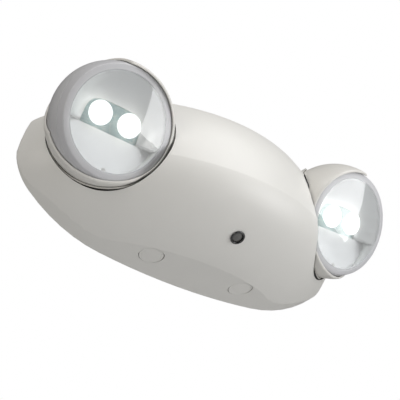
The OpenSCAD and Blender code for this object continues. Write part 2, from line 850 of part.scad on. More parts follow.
// Lamp shell: the ball's back with a bulkhead and a pad for the light board
module lamp_shell(side) {
    pad_top = led_face_h - led_board_t - face_gap;
    color("dimgray") difference() {
        intersection() {
            lamp_frame(side) union() {
                intersection() {
                    difference() {
                        sphere(r = lamp_r);
                        sphere(r = shell_in);
                    }
                    translate([0, 0, -lamp_r - over])
                        cylinder(h = lamp_r + over + skirt_h - face_gap, r = lamp_r + over);
                }
                intersection() {
                    sphere(r = lamp_r - shell_wall / 2);
                    translate([0, 0, -bulkhead_h - bulkhead_t]) cylinder(h = bulkhead_t, r = lamp_r);
                }
                translate([0, 0, -bulkhead_h - bulkhead_t / 2])
                    cylinder(h = bulkhead_h + bulkhead_t / 2 + pad_top, r = pad_r);
            }
            for_tilt(side, tilt_out) translate([0, 0, -lamp_trim]) cylinder(h = 2 * lamp_r, r = 2 * lamp_r);
            for_tilt(side, -tilt_in) translate([0, 0, -lamp_trim]) cylinder(h = 2 * lamp_r, r = 2 * lamp_r);
        }
        for (s = [-1, 1]) pin_place(side, s) cylinder(h = hood_r, r = pin_r + run_gap, $fn = 48);
        lamp_frame(side) sink_places() translate([0, 0, -bulkhead_h - bulkhead_t - over])
            cylinder(h = bulkhead_t + bulkhead_h + over, r = screw_r + thin_gap);
    }
}

// The swivel frame as the lamp sees it once it has tilted about its pins by an angle
module for_tilt(side, angle) {
    on_side(side) translate([ball_x, -ball_y, ball_z]) rotate(a = -angle, v = pin_axis)
        aim(seat_out, 0) children();
}

module sink_places() {
    for (sx = [-1, 1], sy = [-1, 1]) translate([sx * sink_screw_x, sy * 1.5 * fin_pitch, 0]) children();
}

module heat_sink(side) {
    color("silver") lamp_frame(side) difference() {
        union() {
            translate([0, 0, -sink_top - sink_base_t]) cylinder(h = sink_base_t, r = sink_r);
            intersection() {
                translate([0, 0, -sink_top - sink_h]) cylinder(h = sink_h, r = sink_r);
                for (i = [0 : fin_count - 1])
                    translate([0, (i - (fin_count - 1) / 2) * fin_pitch, -sink_top - sink_h])
                        block([2 * sink_r, fin_t, sink_h]);
            }
        }
        sink_places() translate([0, 0, -sink_top - sink_h])
            cylinder(h = sink_h + over, r = screw_r + thin_gap);
    }
}

module sink_screws(side) {
    color("silver") lamp_frame(side) sink_places()
        translate([0, 0, -sink_top - sink_base_t - face_gap]) rotate([180, 0, 0])
            screw(sink_base_t + bulkhead_t + bulkhead_h / 2);
}

// The light board's own frame: raised and turned a little in the lamp
module led_frame(side) {
    lamp_frame(side) translate([0, board_up, 0]) rotate([0, 0, board_turn]) children();
}

module led_board(side) {
    color("darkseagreen") led_frame(side) translate([0, 0, led_face_h - led_board_t])
        block([led_board_l, led_board_w, led_board_t]);
}

module led_optics(side) {
    optic_side = optic_h * optic_rim_share;
    color("lightyellow") led_frame(side) for (s = [-1, 1])
        translate([s * optic_pitch / 2, 0, led_face_h + face_gap]) {
            cylinder(h = optic_h - optic_side, r1 = optic_r * optic_foot_share, r2 = optic_r, $fn = 48);
            translate([0, 0, optic_h - optic_side]) cylinder(h = optic_side, r = optic_r, $fn = 48);
        }
}

// Side of the reflector bowl; a thickness of zero gives its hollow
module reflector_side(t, low, top) {
    mid = reflector_h + (aperture_h - reflector_h) * bowl_mid_share;
    rotate_extrude() polygon([[0, low], [bowl_floor_r + t / 2, low], [bowl_mid_r + t, mid],
        [aperture_r + t, aperture_h], [aperture_r + t, top], [0, top]]);
}

// Reflector: a bowl with a flange under the lens and a flat facet below the light board
module reflector(side) {
    color("silver") lamp_frame(side) difference() {
        union() {
            difference() {
                union() {
                    reflector_side(reflector_t, reflector_h, aperture_h);
                    translate([0, 0, aperture_h - reflector_t])
                        cylinder(h = reflector_t, r = aperture_r + flange_w);
                }
                reflector_side(0, reflector_h + reflector_t, aperture_h + over);
            }
            intersection() {
                reflector_side(reflector_t / 2, reflector_h, aperture_h);
                facet_wedge();
            }
        }
        translate([0, board_up, reflector_h - over]) rotate([0, 0, board_turn])
            block([led_board_l - 2 * board_lip, led_board_w - 2 * board_lip, aperture_h]);
    }
}

// The flat facet climbs from the board's lower edge to the lower side of the opening
module facet_wedge() {
    start = board_up - led_board_w / 2 + board_lip;
    end = -aperture_r * facet_run_share;
    floor_h = reflector_h + reflector_t;
    end_h = reflector_h + (aperture_h - reflector_h) * facet_rise_share;
    rotate([0, 0, board_turn]) translate([-aperture_r, 0, 0]) rotate([90, 0, 90])
        linear_extrude(2 * aperture_r) polygon([[start, reflector_h], [start, floor_h],
            [end, end_h], [end - 2 * flange_w, end_h], [end - 2 * flange_w, reflector_h]]);
}

back_plate();
front_cover();
seat_ring(1);  // seat_ring_right
seat_ring(-1);  // seat_ring_left
conduit_plug(1);  // conduit_plug_right
conduit_plug(-1);  // conduit_plug_left
wire_bushing();
button_bezel();
test_button();
switch_board();
test_switch();
switch_screws();
battery_cells();
battery_wrap();
battery_straps();
strap_screws();
charger_board();
board_screws();
transformer_core();
transformer_coil();
relay();
capacitors();
terminal_block();
lamp_connectors();
hood(1);  // hood_right
swivel_nut(1);  // swivel_nut_right
friction_washer(1);  // friction_washer_right
pivot_pins(1);  // pivot_pins_right
lens(1);  // lens_right
lamp_shell(1);  // lamp_shell_right
reflector(1);  // reflector_right
led_board(1);  // led_board_right
led_optics(1);  // led_optics_right
heat_sink(1);  // heat_sink_right
sink_screws(1);  // sink_screws_right
hood(-1);  // hood_left
swivel_nut(-1);  // swivel_nut_left
friction_washer(-1);  // friction_washer_left
pivot_pins(-1);  // pivot_pins_left
lens(-1);  // lens_left
lamp_shell(-1);  // lamp_shell_left
reflector(-1);  // reflector_left
led_board(-1);  // led_board_left
led_optics(-1);  // led_optics_left
heat_sink(-1);  // heat_sink_left
sink_screws(-1);  // sink_screws_left
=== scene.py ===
# %% [markdown]
# Twin head emergency light
# -------------------------
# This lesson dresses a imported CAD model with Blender. The CAD model is in metres and already
# stands in its final place, so every new piece is computed where the CAD says it goes.
# Numbers are written in millimetres, as a maker's drawing has them, and become metres at the
# last moment, when a mesh is made.

# %% Load the frame
import bmesh
import bpy
import numpy as np
from math import atan2, cos, pi, radians, sin, sqrt, tan
from mathutils import Matrix


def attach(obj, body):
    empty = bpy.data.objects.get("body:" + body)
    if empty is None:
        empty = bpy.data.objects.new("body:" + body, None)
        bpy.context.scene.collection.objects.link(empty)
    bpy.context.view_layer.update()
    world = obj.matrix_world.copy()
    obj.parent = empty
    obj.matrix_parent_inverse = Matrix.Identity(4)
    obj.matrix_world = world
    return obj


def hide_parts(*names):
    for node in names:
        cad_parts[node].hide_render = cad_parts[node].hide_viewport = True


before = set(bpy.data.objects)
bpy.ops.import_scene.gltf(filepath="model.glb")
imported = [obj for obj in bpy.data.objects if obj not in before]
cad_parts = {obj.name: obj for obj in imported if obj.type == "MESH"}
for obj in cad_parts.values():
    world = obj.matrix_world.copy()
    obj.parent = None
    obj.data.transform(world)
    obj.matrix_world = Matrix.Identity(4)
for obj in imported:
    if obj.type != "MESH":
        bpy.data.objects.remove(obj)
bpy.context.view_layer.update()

MM = 0.001

# %% [markdown]
# The camera
# ----------
# The photograph looks up at the light from the lower left. The camera is given as a place and
# three directions: along the view, to the right and up. Its lens is long, so the perspective
# is gentle. The place and the angles were found from edges that the drawing also has.

# %% Camera
TURN, LIFT, ROLL = radians(37.216), radians(26.541), radians(4.021)
FOCAL_PIXELS, FRAME_PIXELS, SENSOR = 1230.916, 400, 36.0
DISTANCE, SHIFT_RIGHT, SHIFT_UP = 905.4, -12.1, -2.6
AIM_HEIGHT = 8.82
CLIP_NEAR, CLIP_FAR = 0.01, 50  # metres


def camera_axes():
    """Right, up and view directions: a turn about the upright axis, then the lift, then the
    roll about the view."""
    view = np.array([sin(TURN) * cos(LIFT), cos(TURN) * cos(LIFT), sin(LIFT)])
    level = np.array([cos(TURN), -sin(TURN), 0.0])
    above = np.cross(level, view)
    right = cos(ROLL) * level + sin(ROLL) * above
    return right, cos(ROLL) * above - sin(ROLL) * level, view


def add_camera():
    """Camera = aim point - distance x view - the two small shifts of the picture's middle."""
    right, up, view = camera_axes()
    place = -DISTANCE * view - SHIFT_RIGHT * right - SHIFT_UP * up + [0, 0, AIM_HEIGHT]
    data = bpy.data.cameras.new("photo_camera")
    data.sensor_width = SENSOR
    data.lens = FOCAL_PIXELS * SENSOR / FRAME_PIXELS
    data.clip_start, data.clip_end = CLIP_NEAR, CLIP_FAR
    camera = bpy.data.objects.new("photo_camera", data)
    bpy.context.scene.collection.objects.link(camera)
    rows = [[right[i], up[i], -view[i], place[i] * MM] for i in range(3)]
    camera.matrix_world = Matrix(rows + [[0, 0, 0, 1]])
    bpy.context.scene.camera = camera
    return camera


camera = add_camera()
print("camera stands at", [round(v, 3) for v in camera.matrix_world.translation])

# %% [markdown]
# The frames of the two heads
# ---------------------------
# Each head swivels about an axis that leans outward from the wall, and its lamp tilts about
# two pins in the hood. A local frame is an origin and three directions. The left head is the
# mirror image of the right one, so its points only change the sign of X.

# %% Local frames
BALL = np.array([103.5, -51.4, 13.5])
SEAT_OUT, RIM_OUT, RIM_DOWN, LAMP_YAW = 38.0, 13.4, 23.6, 5.4
SIDES = {"right": 1, "left": -1}


def aim(out, down):
    """Columns x, y, z of a frame whose z looks out to the side and down by two angles."""
    o, d = radians(out), radians(down)
    return np.array([[cos(o), sin(d) * sin(o), sin(o) * cos(d)],
                     [sin(o), -sin(d) * cos(o), -cos(o) * cos(d)],
                     [0, cos(d), -sin(d)]])


def yawed(axes, angle):
    """The same frame turned about its own y by an angle."""
    a = radians(angle)
    return axes @ np.array([[cos(a), 0, sin(a)], [0, 1, 0], [-sin(a), 0, cos(a)]])


SWIVEL, RIM = aim(SEAT_OUT, 0), aim(RIM_OUT, RIM_DOWN)
LAMP = yawed(RIM, -LAMP_YAW)


def put(points, axes, side, origin=BALL):
    """World point = origin + axes x local point, with X mirrored on the left."""
    world = points @ axes.T + origin
    return world * [side, 1, 1]


print("lamp looks along", LAMP[:, 2].round(3))

# %% [markdown]
# Shader arithmetic
# -----------------
# A material is a small circuit. Two helpers keep it readable. `Wire` wraps a socket so that
# plain Python arithmetic adds Math nodes. `Paint` owns one material and adds any other node
# in one call: its type, its settings, then the values or wires of its sockets.

# %% Wires and paints
class Wire:
    """A socket in an expression: each operator adds one Math node that works on it."""

    def __init__(self, paint, socket):
        self.paint, self.socket = paint, socket

    def math(self, operation, a, b):
        return self.paint.add("ShaderNodeMath", {"operation": operation}, {0: a, 1: b})["Value"]

    def __add__(self, other): return self.math("ADD", self, other)
    def __radd__(self, other): return self.math("ADD", other, self)
    def __sub__(self, other): return self.math("SUBTRACT", self, other)
    def __mul__(self, other): return self.math("MULTIPLY", self, other)
    def __pow__(self, other): return self.math("POWER", self, other)
    def __gt__(self, other): return self.math("GREATER_THAN", self, other)
    def __lt__(self, other): return self.math("LESS_THAN", self, other)


class Outputs:
    """The outputs of one node, each by its name as a wire."""

    def __init__(self, paint, node):
        self.paint, self.node = paint, node

    def __getitem__(self, name):
        socket = next(s for s in self.node.outputs if s.enabled and s.name == name)
        return Wire(self.paint, socket)


class Paint:
    """One material and its nodes."""

    def __init__(self, name):
        self.material = bpy.data.materials.new(name)
        self.material.use_nodes = True
        self.tree = self.material.node_tree
        self.tree.nodes.clear()

    def add(self, kind, settings=None, sockets=None):
        """Adds a node: its settings first, then each socket's value or wire."""
        node = self.tree.nodes.new(kind)
        for key, value in (settings or {}).items():
            setattr(node, key, value)
        for key, value in (sockets or {}).items():
            socket = node.inputs[key] if isinstance(key, int) else next(
                s for s in node.inputs if s.enabled and s.name == key)
            if isinstance(value, Wire):
                self.tree.links.new(value.socket, socket)
            else:
                socket.default_value = value
        return Outputs(self, node)

    def noise(self, grain_mm, detail, stretch=(1, 1, 1)):
        """Noise from 0 to 1 whose spots are about grain_mm across, on Object coordinates."""
        place = self.add("ShaderNodeTexCoord")["Object"]
        spread = self.add("ShaderNodeMapping", {}, {"Vector": place, "Scale": stretch})["Vector"]
        return self.add("ShaderNodeTexNoise", {}, {
            "Vector": spread, "Scale": 1 / (grain_mm * MM), "Detail": detail})["Fac"]

    def mix(self, share, a, b):
        """Colour a where share is 0 and colour b where it is 1."""
        return self.add("ShaderNodeMix", {"data_type": "RGBA"}, {
            "Factor": share, "A": a, "B": b})["Result"]

    def about_axis(self, direction):
        """Depth along an axis through the ball centre, and distance from it, in millimetres.
        X counts without its sign, so one finish serves both heads: depth = v . axis and
        distance = length of v x axis, with v from the ball centre."""
        parts = self.add("ShaderNodeSeparateXYZ", {}, {
            "Vector": self.add("ShaderNodeTexCoord")["Object"]})
        across = self.add("ShaderNodeMath", {"operation": "ABSOLUTE"}, {0: parts["X"]})["Value"]
        folded = self.add("ShaderNodeCombineXYZ", {}, {
            "X": across, "Y": parts["Y"], "Z": parts["Z"]})["Vector"]
        v = self.vector("SUBTRACT", folded, tuple(BALL * MM))["Vector"]
        depth = self.vector("DOT_PRODUCT", v, tuple(direction))["Value"]
        cross = self.vector("CROSS_PRODUCT", v, tuple(direction))["Vector"]
        reach = self.add("ShaderNodeVectorMath", {"operation": "LENGTH"}, {0: cross})["Value"]
        return depth * (1 / MM), reach * (1 / MM)

    def vector(self, operation, a, b):
        """A Vector Math node on two vectors."""
        return self.add("ShaderNodeVectorMath", {"operation": operation}, {0: a, 1: b})

    def ramp(self, value, start, end):
        """0 below the start, 1 above the end and straight between."""
        return self.add("ShaderNodeMapRange", {}, {
            "Value": value, "From Min": start, "From Max": end})["Result"]

    def bump(self, height, depth_mm, strength, edge_mm=0.0):
        """Raises the surface by height x depth; edges of edge_mm radius catch light first."""
        sockets = {"Height": height, "Distance": depth_mm * MM, "Strength": strength}
        if edge_mm:
            sockets["Normal"] = self.add("ShaderNodeBevel", {"samples": 4}, {
                "Radius": edge_mm * MM})["Normal"]
        return self.add("ShaderNodeBump", {}, sockets)["Normal"]

    def finish(self, **sockets):
        """Ends the material in a Principled shader; underscores in names stand for blanks."""
        named = {key.replace("_", " "): value for key, value in sockets.items()}
        shader = self.add("ShaderNodeBsdfPrincipled", {}, named)
        self.add("ShaderNodeOutputMaterial", {}, {"Surface": shader["BSDF"]})
        return self.material


def tone(r, g, b):
    """A colour as Blender wants it, with full cover."""
    return (r, g, b, 1.0)


def between(wire, low, high):
    """1 where a wire's value lies between two levels, else 0."""
    return (wire > low) * (wire < high)


print("shader helpers ready")

# %% [markdown]
# Moulded plastic
# ---------------
# The housing, hoods and trim are moulded in a fire-safe white plastic. Up close such a part
# has a fine spark-eroded grain, a faint cloudiness where the melt flowed, and edges that are
# never quite sharp. Each of these is one noise or one bevel in the material. One function
# makes every moulded finish, so that all of them age in the same way. Where a narrow gap
# swallows the light, a mask function tells which points lie in it, and they get painted
# shade: a near-black base colour that stands in for the gap's shadow.

# %% Plastic finishes
# The last colour is painted shade, near-black, for the shadow inside narrow gaps.
CLOUD_MM, SPECK_MM, PAINTED_GAP_SHADE = 26, 1.7, tone(0.008, 0.007, 0.006)


def moulded(name, colour, rough, grain_mm=0.35, depth=0.02, cloud=0.03, edge_mm=0.0, coat=0.0,
            gap_shade=None):
    """Base colour = colour x (1 +- cloud), roughness = rough +- a little, bump = fine grain.
    The last argument is a function that gives 1 where the plastic lies in the shade of a narrow
    gap; there the base colour is painted shade, near-black."""
    paint = Paint(name)
    clouds = paint.noise(CLOUD_MM, 3)
    grain = paint.noise(grain_mm, 3)
    specks = paint.noise(SPECK_MM, 5)
    dark = tone(*[c * (1 - cloud) for c in colour])
    light = tone(*[min(c * (1 + cloud), 1) for c in colour])
    base = paint.mix(clouds * 0.7 + specks * 0.3, dark, light)
    # Painted shade: the base colour turns near-black where the mask marks a narrow gap.
    if gap_shade:
        base = paint.mix(gap_shade(paint), base, PAINTED_GAP_SHADE)
    return paint.finish(
        Base_Color=base,
        Roughness=rough + (grain - 0.5) * 0.10 + (clouds - 0.5) * 0.05,
        Normal=paint.bump(grain, depth, 0.35, edge_mm),
        Coat_Weight=coat, Coat_Roughness=0.25)


# The gap round a ball: the ring's two radii, the pocket's radius, the depth of its ledge, how
# far a point may lie off, and the height where the housing's top edge ends the pocket's painted
# shade.
RING_IN, RING_OUT, POCKET_R, LEDGE, HAIR, SKIN_TOP = 41.86, 43.3, 43.6, -17.5, 0.25, 30.0


def within_skin(paint):
    """1 where the seat lies inside the housing's outline and its wall gets painted shade; above
    that its wall is in the open.
    """
    place = paint.add("ShaderNodeTexCoord")["Object"]
    return paint.add("ShaderNodeSeparateXYZ", {}, {"Vector": place})["Z"] < SKIN_TOP * MM


def pocket_shade(paint):
    """1 on the wall of the seat pocket, at its own distance from the swivel axis: the places
    that get painted shade for the gap beside the ring.
    """
    depth, reach = paint.about_axis(SWIVEL[:, 2])
    on_wall = between(reach, POCKET_R - HAIR, POCKET_R + HAIR)
    return on_wall * (depth > LEDGE - HAIR) * within_skin(paint)


def ring_side_shade(paint):
    """1 on the two side walls of the ring, a hair inside its outer and inner radius: the places
    that get painted shade for the gaps beside them.
    """
    _, reach = paint.about_axis(SWIVEL[:, 2])
    return (reach > RING_OUT - HAIR / 2) + (reach < RING_IN + HAIR / 2)


# The pocket wall of the housing and the ring's side walls carry painted shade.
housing_white = moulded("housing_white", (0.745, 0.735, 0.705), 0.40, edge_mm=0.7,
                        gap_shade=pocket_shade)
hood_white = moulded("hood_white", (0.745, 0.730, 0.695), 0.36, edge_mm=0.25)
ring_white = moulded("ring_white", (0.70, 0.685, 0.645), 0.38, gap_shade=ring_side_shade)
post_white = moulded("post_white", (0.70, 0.69, 0.66), 0.38)
plug_white = moulded("plug_white", (0.74, 0.73, 0.70), 0.42)
bezel_black = moulded("bezel_black", (0.012, 0.012, 0.013), 0.22, coat=0.6)
button_grey = moulded("button_grey", (0.085, 0.082, 0.078), 0.20, coat=0.8)
shell_grey = moulded("shell_grey", (0.62, 0.62, 0.635), 0.30, edge_mm=0.2)
rubber_black = moulded("rubber_black", (0.020, 0.020, 0.021), 0.72, grain_mm=0.8,
                       depth=0.05)
part_black = moulded("part_black", (0.022, 0.022, 0.024), 0.42)
nut_grey = moulded("nut_grey", (0.22, 0.225, 0.23), 0.48)
relay_blue = moulded("relay_blue", (0.035, 0.13, 0.36), 0.34)
terminal_green = moulded("terminal_green", (0.03, 0.27, 0.09), 0.44)
connector_ivory = moulded("connector_ivory", (0.72, 0.68, 0.56), 0.46)
wrap_blue = moulded("wrap_blue", (0.02, 0.10, 0.34), 0.24, grain_mm=5, depth=0.15,
                    cloud=0.10)
print("plastic finishes made")

# %% [markdown]
# Metals, boards and coils
# ------------------------
# Steel screws and straps show a brushed direction, so their noise is stretched along one
# axis. A circuit board is a green lacquer over copper: the copper lines lie under the lacquer
# as paler bands. The transformer coil is amber tape over wire, seen as fine rings.

# %% Metal, board and coil finishes
STAIN_MM, COIL_SCALE = 9, 260.0


def metal(name, colour, rough, brush=(1, 1, 1), grain_mm=0.6):
    """Full metal; roughness and bump follow one noise that is stretched along the brushing."""
    paint = Paint(name)
    lines = paint.noise(grain_mm, 3, brush)
    stain = paint.noise(STAIN_MM, 3)
    base = paint.mix(stain, tone(*[c * 0.88 for c in colour]), tone(*colour))
    return paint.finish(Base_Color=base, Metallic=1.0, Roughness=rough + (lines - 0.5) * 0.16,
                        Normal=paint.bump(lines, 0.01, 0.3))


def board(name, lacquer, copper):
    """Lacquer colour, with copper lines where a stretched noise passes a level."""
    paint = Paint(name)
    lines = paint.noise(2.6, 0, (1, 1, 0.12))
    across = paint.noise(3.1, 0, (0.12, 1, 1))
    track = between(lines, 0.55, 0.62) + between(across, 0.56, 0.61)
    cloud = paint.noise(7, 2)
    base = paint.mix(track * 0.55 + cloud * 0.12, lacquer, copper)
    return paint.finish(Base_Color=base, Roughness=0.30 + cloud * 0.08, Coat_Weight=0.3,
                        Normal=paint.bump(track, 0.035, 0.6))


def coil(name, colour):
    """Amber tape: rings from a sine wave along the winding's axis, under a thin gloss."""
    paint = Paint(name)
    wave = paint.add("ShaderNodeTexWave", {"bands_direction": "Z"}, {
        "Vector": paint.add("ShaderNodeTexCoord")["Object"], "Scale": COIL_SCALE,
        "Distortion": 0.4})["Fac"]
    base = paint.mix(wave, tone(*[c * 0.6 for c in colour]), tone(*colour))
    return paint.finish(Base_Color=base, Roughness=0.28 + wave * 0.1,
                        Normal=paint.bump(wave, 0.08, 0.5))


steel = metal("steel", (0.56, 0.56, 0.55), 0.34, (1, 1, 0.1))
sink_metal = metal("sink_metal", (0.62, 0.63, 0.64), 0.42, (0.1, 1, 1))
cell_metal = metal("cell_metal", (0.60, 0.60, 0.58), 0.26, (1, 1, 0.2))
board_green = board("board_green", tone(0.015, 0.16, 0.06), tone(0.20, 0.36, 0.12))
light_board = board("light_board", tone(0.36, 0.47, 0.46), tone(0.56, 0.62, 0.58))
coil_amber = coil("coil_amber", (0.62, 0.34, 0.05))
print("metal, board and coil finishes made")

# %% [markdown]
# Finishes for the parts that keep their CAD shape
# ------------------------------------------------
# Most inner parts are already the right shape: they only need a finish. The CAD mesh is
# never changed, so the finish goes into its material slots.

# %% Finish the CAD parts
CAD_FINISH = {
    "back_plate": housing_white, "wire_bushing": rubber_black, "switch_board": board_green,
    "test_switch": part_black, "switch_screws": steel, "battery_cells": cell_metal,
    "battery_wrap": wrap_blue, "battery_straps": steel, "strap_screws": steel,
    "charger_board": board_green, "board_screws": steel, "transformer_core": steel,
    "transformer_coil": coil_amber, "relay": relay_blue, "capacitors": part_black,
    "terminal_block": terminal_green, "lamp_connectors": connector_ivory,
    "swivel_nut": nut_grey, "friction_washer": rubber_black, "pivot_pins": steel,
    "led_board": light_board, "heat_sink": sink_metal, "sink_screws": steel,
}


def dress(node, finish):
    """Puts one finish into every material slot of a CAD part."""
    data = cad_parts[node].data
    data.materials.clear()
    data.materials.append(finish)


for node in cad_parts:
    kind = node.removesuffix("_right").removesuffix("_left")
    if kind in CAD_FINISH:
        dress(node, CAD_FINISH[kind])
print(len(CAD_FINISH), "kinds of CAD part dressed")

# %% [markdown]
# Making a mesh from arrays
# -------------------------
# A turned part is a profile of radius and height carried once round an axis. The result is a
# grid of points, and its faces follow from the grid alone. Points at the poles fall together
# and are merged, then the faces are turned outwards. A corner of a profile is rounded by
# replacing it with a short arc, since no moulded or ground edge is sharp.

# %% Grid, turning and rounding
# Points nearer than this, in metres, become one: in grids made here and in copies of CAD.
OWN_MERGE, CAD_MERGE = 2e-7, 2e-6
CORNER_SHARE = 0.45


def grid_faces(rows, columns, wrap_rows=False, wrap_columns=True):
    """Four-sided faces between neighbouring rows and columns of a grid of points."""
    r = np.arange(rows if wrap_rows else rows - 1)[:, None]
    c = np.arange(columns if wrap_columns else columns - 1)[None, :]
    r2, c2 = (r + 1) % rows, (c + 1) % columns
    quads = np.stack([r * columns + c, r * columns + c2, r2 * columns + c2, r2 * columns + c],
                     -1)
    return quads.reshape(-1, 4)


def turned(profile, around=144):
    """Point = (radius cos t, radius sin t, height) for each profile row and each angle t."""
    profile = np.asarray(profile, float)
    t = np.linspace(0, 2 * pi, around, endpoint=False)
    r, h = profile[:, :1], profile[:, 1:]
    return np.stack([r * np.cos(t), r * np.sin(t), h + 0 * t], -1)


def rounded(points, radius, steps=5):
    """Each inner corner becomes a quadratic arc that starts and ends one radius from it, or
    nearer where a side is short."""
    points = np.asarray(points, float)
    out = [points[:1]]
    s = np.linspace(0, 1, steps)[:, None]
    for before, corner, after in zip(points[:-2], points[1:-1], points[2:]):
        into, away = before - corner, after - corner
        long_in, long_out = np.linalg.norm(into), np.linalg.norm(away)
        reach = min(radius, CORNER_SHARE * long_in, CORNER_SHARE * long_out)
        a, b = corner + into / long_in * reach, corner + away / long_out * reach
        out.append((1 - s) ** 2 * a + 2 * s * (1 - s) * corner + s ** 2 * b)
    return np.concatenate(out + [points[-1:]])


def make(name, sheets, finish, body, replaces=(), sharp=38):
    """Joins grids of points (mm) into one mesh in metres, merged, facing out and smooth."""
    mesh = bpy.data.meshes.new(name)
    points, faces, start = [], [], 0
    for grid, quads in sheets:
        points.append(grid.reshape(-1, 3))
        faces.append(quads + start)
        start += len(points[-1])
    mesh.from_pydata((np.concatenate(points) * MM).tolist(), [],
                     np.concatenate(faces).tolist())
    shape = bmesh.new()
    shape.from_mesh(mesh)
    bmesh.ops.remove_doubles(shape, verts=shape.verts, dist=OWN_MERGE)
    bmesh.ops.recalc_face_normals(shape, faces=shape.faces)
    shape.to_mesh(mesh)
    shape.free()
    mesh.shade_smooth()
    mesh.set_sharp_from_angle(angle=radians(sharp))
    mesh.materials.append(finish)
    piece = bpy.data.objects.new(name, mesh)
    bpy.context.scene.collection.objects.link(piece)
    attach(piece, body)
    if replaces:
        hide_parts(*replaces)
    print(f"{name}: {len(mesh.polygons)} faces on {body}")
    return piece


def sheet(points, wrap_rows=False, wrap_columns=True):
    """A grid of points with its faces."""
    return points, grid_faces(points.shape[0], points.shape[1], wrap_rows, wrap_columns)


# %% [markdown]
# The housing
# -----------
# The front cover is one moulding. Its outline is made of arcs that flow into each other, its
# sides lean in so that it leaves the mould, and its front is two curved faces that meet in a
# ridge. The CAD mesh has that shape already, but its triangles are flat. A copy of it is
# merged, and each corner gets the direction that the true curved surface has there. This
# keeps every edge where the CAD has it and makes the faces look as smooth as the moulding.

# %% Sizes of the housing
BODY_LEN, BODY_H, BODY_DEPTH, PLAN_R = 284.0, 115.0, 86.5, 159.0
EDGE_R, SHOULDER_R, TIP_R = 586.0, 116.0, 36.0
RIDGE_DROP, LOWER_FALL, UPPER_FALL, UPPER_LEAN = 3.8, 88.0, 31.0, 0.135
SIDE_DRAFT, TIP_DRAFT, TIP_FAR_R = radians(8), radians(28), 142.2
# The front faces run a hair past the outline, and the share of their height has two limits.
PAST_OUTLINE, SHARE_FROM, SHARE_TO = 0.3, -0.02, 0.995
LOW_H = BODY_H / 2 - RIDGE_DROP + PAST_OUTLINE
HIGH_H = BODY_H / 2 + RIDGE_DROP + PAST_OUTLINE
PLAN_Y = PLAN_R - BODY_DEPTH


def outline_centres():
    """Centres of the three arcs of a quarter outline; the shoulder touches the other two."""
    edge, tip = np.array([0, BODY_H / 2 - EDGE_R]), np.array([BODY_LEN / 2 - TIP_R, 0])
    span = np.linalg.norm(tip - edge)
    unit = (tip - edge) / span
    far, near = EDGE_R - SHOULDER_R, SHOULDER_R - TIP_R
    along = (far * far - near * near + span * span) / (2 * span)
    aside = np.array([-unit[1], unit[0]]) * sqrt(far * far - along * along)
    return edge, edge + unit * along + aside, tip


EDGE_C, SHOULDER_C, TIP_C = outline_centres()
print("shoulder centre", SHOULDER_C.round(2))


# %% True directions on the housing
def unit_rows(v):
    """Each row divided by its own length."""
    return v / np.maximum(np.linalg.norm(v, axis=-1, keepdims=True), 1e-9)


def front_surface(p, lower):
    """Radius about the upright axis is a quarter ellipse of height; normal = (out, -slope)."""
    out = p[..., :2] - [0, PLAN_Y]
    r = np.linalg.norm(out, axis=-1)
    t = (-RIDGE_DROP - p[..., 2]) / LOW_H if lower else (p[..., 2] + RIDGE_DROP) / HIGH_H
    t = np.clip(t, SHARE_FROM, SHARE_TO)
    c = np.sqrt(1 - t * t)
    if lower:
        radius, slope = PLAN_R - LOWER_FALL * (1 - c), LOWER_FALL * t / (LOW_H * c)
    else:
        radius = PLAN_R - UPPER_FALL * (1 - c) - UPPER_LEAN * HIGH_H * t
        slope = -UPPER_FALL * t / (HIGH_H * c) - UPPER_LEAN
    normal = np.concatenate([out / r[..., None], -slope[..., None]], -1)
    return unit_rows(normal), np.abs(r - radius)


def side_surface(p):
    """Direction from the arc's centre in front view, tipped forward by the draft."""
    q = np.abs(p[..., [0, 2]])
    from_edge, from_shoulder, from_tip = q - EDGE_C, q - SHOULDER_C, q - TIP_C
    line, bend = SHOULDER_C - EDGE_C, TIP_C - SHOULDER_C
    on_edge = from_edge[..., 0] * line[1] - from_edge[..., 1] * line[0] < 0
    on_tip = from_shoulder[..., 0] * bend[1] - from_shoulder[..., 1] * bend[0] > 0
    d = np.where(on_tip[..., None], from_tip, from_shoulder)
    d = np.where(on_edge[..., None], from_edge, d)
    arc = np.where(on_edge, EDGE_R, np.where(on_tip, TIP_R, SHOULDER_R))
    r = np.linalg.norm(d, axis=-1)
    flat = d / r[..., None] * np.sign(p[..., [0, 2]])
    normal = np.stack([flat[..., 0] * cos(SIDE_DRAFT), 0 * r - sin(SIDE_DRAFT),
                       flat[..., 1] * cos(SIDE_DRAFT)], -1)
    return normal, np.abs(r - arc - p[..., 1] * tan(SIDE_DRAFT))


def tip_surface(p):
    """A cone about the middle of the wall plane: direction out from it, tipped forward."""
    flat = p[..., [0, 2]]
    r = np.linalg.norm(flat, axis=-1)
    normal = np.stack([flat[..., 0] / r * cos(TIP_DRAFT), 0 * r - sin(TIP_DRAFT),
                       flat[..., 1] / r * cos(TIP_DRAFT)], -1)
    return normal, np.abs(r - TIP_FAR_R - p[..., 1] * tan(TIP_DRAFT))


def seat_surface(p):
    """Straight in to the swivel axis, on the wall of the seat pocket. The left seat's points
    are mirrored to the right one first, and their directions back again."""
    mirror = np.where(p[..., :1] < 0, [-1, 1, 1], [1, 1, 1])
    local = (p - BALL * mirror) * mirror @ SWIVEL
    r = np.linalg.norm(local[..., :2], axis=-1)
    inward = np.concatenate([-local[..., :2] / r[..., None], 0 * r[..., None]], -1)
    return inward @ SWIVEL.T * mirror, np.abs(r - POCKET_R)


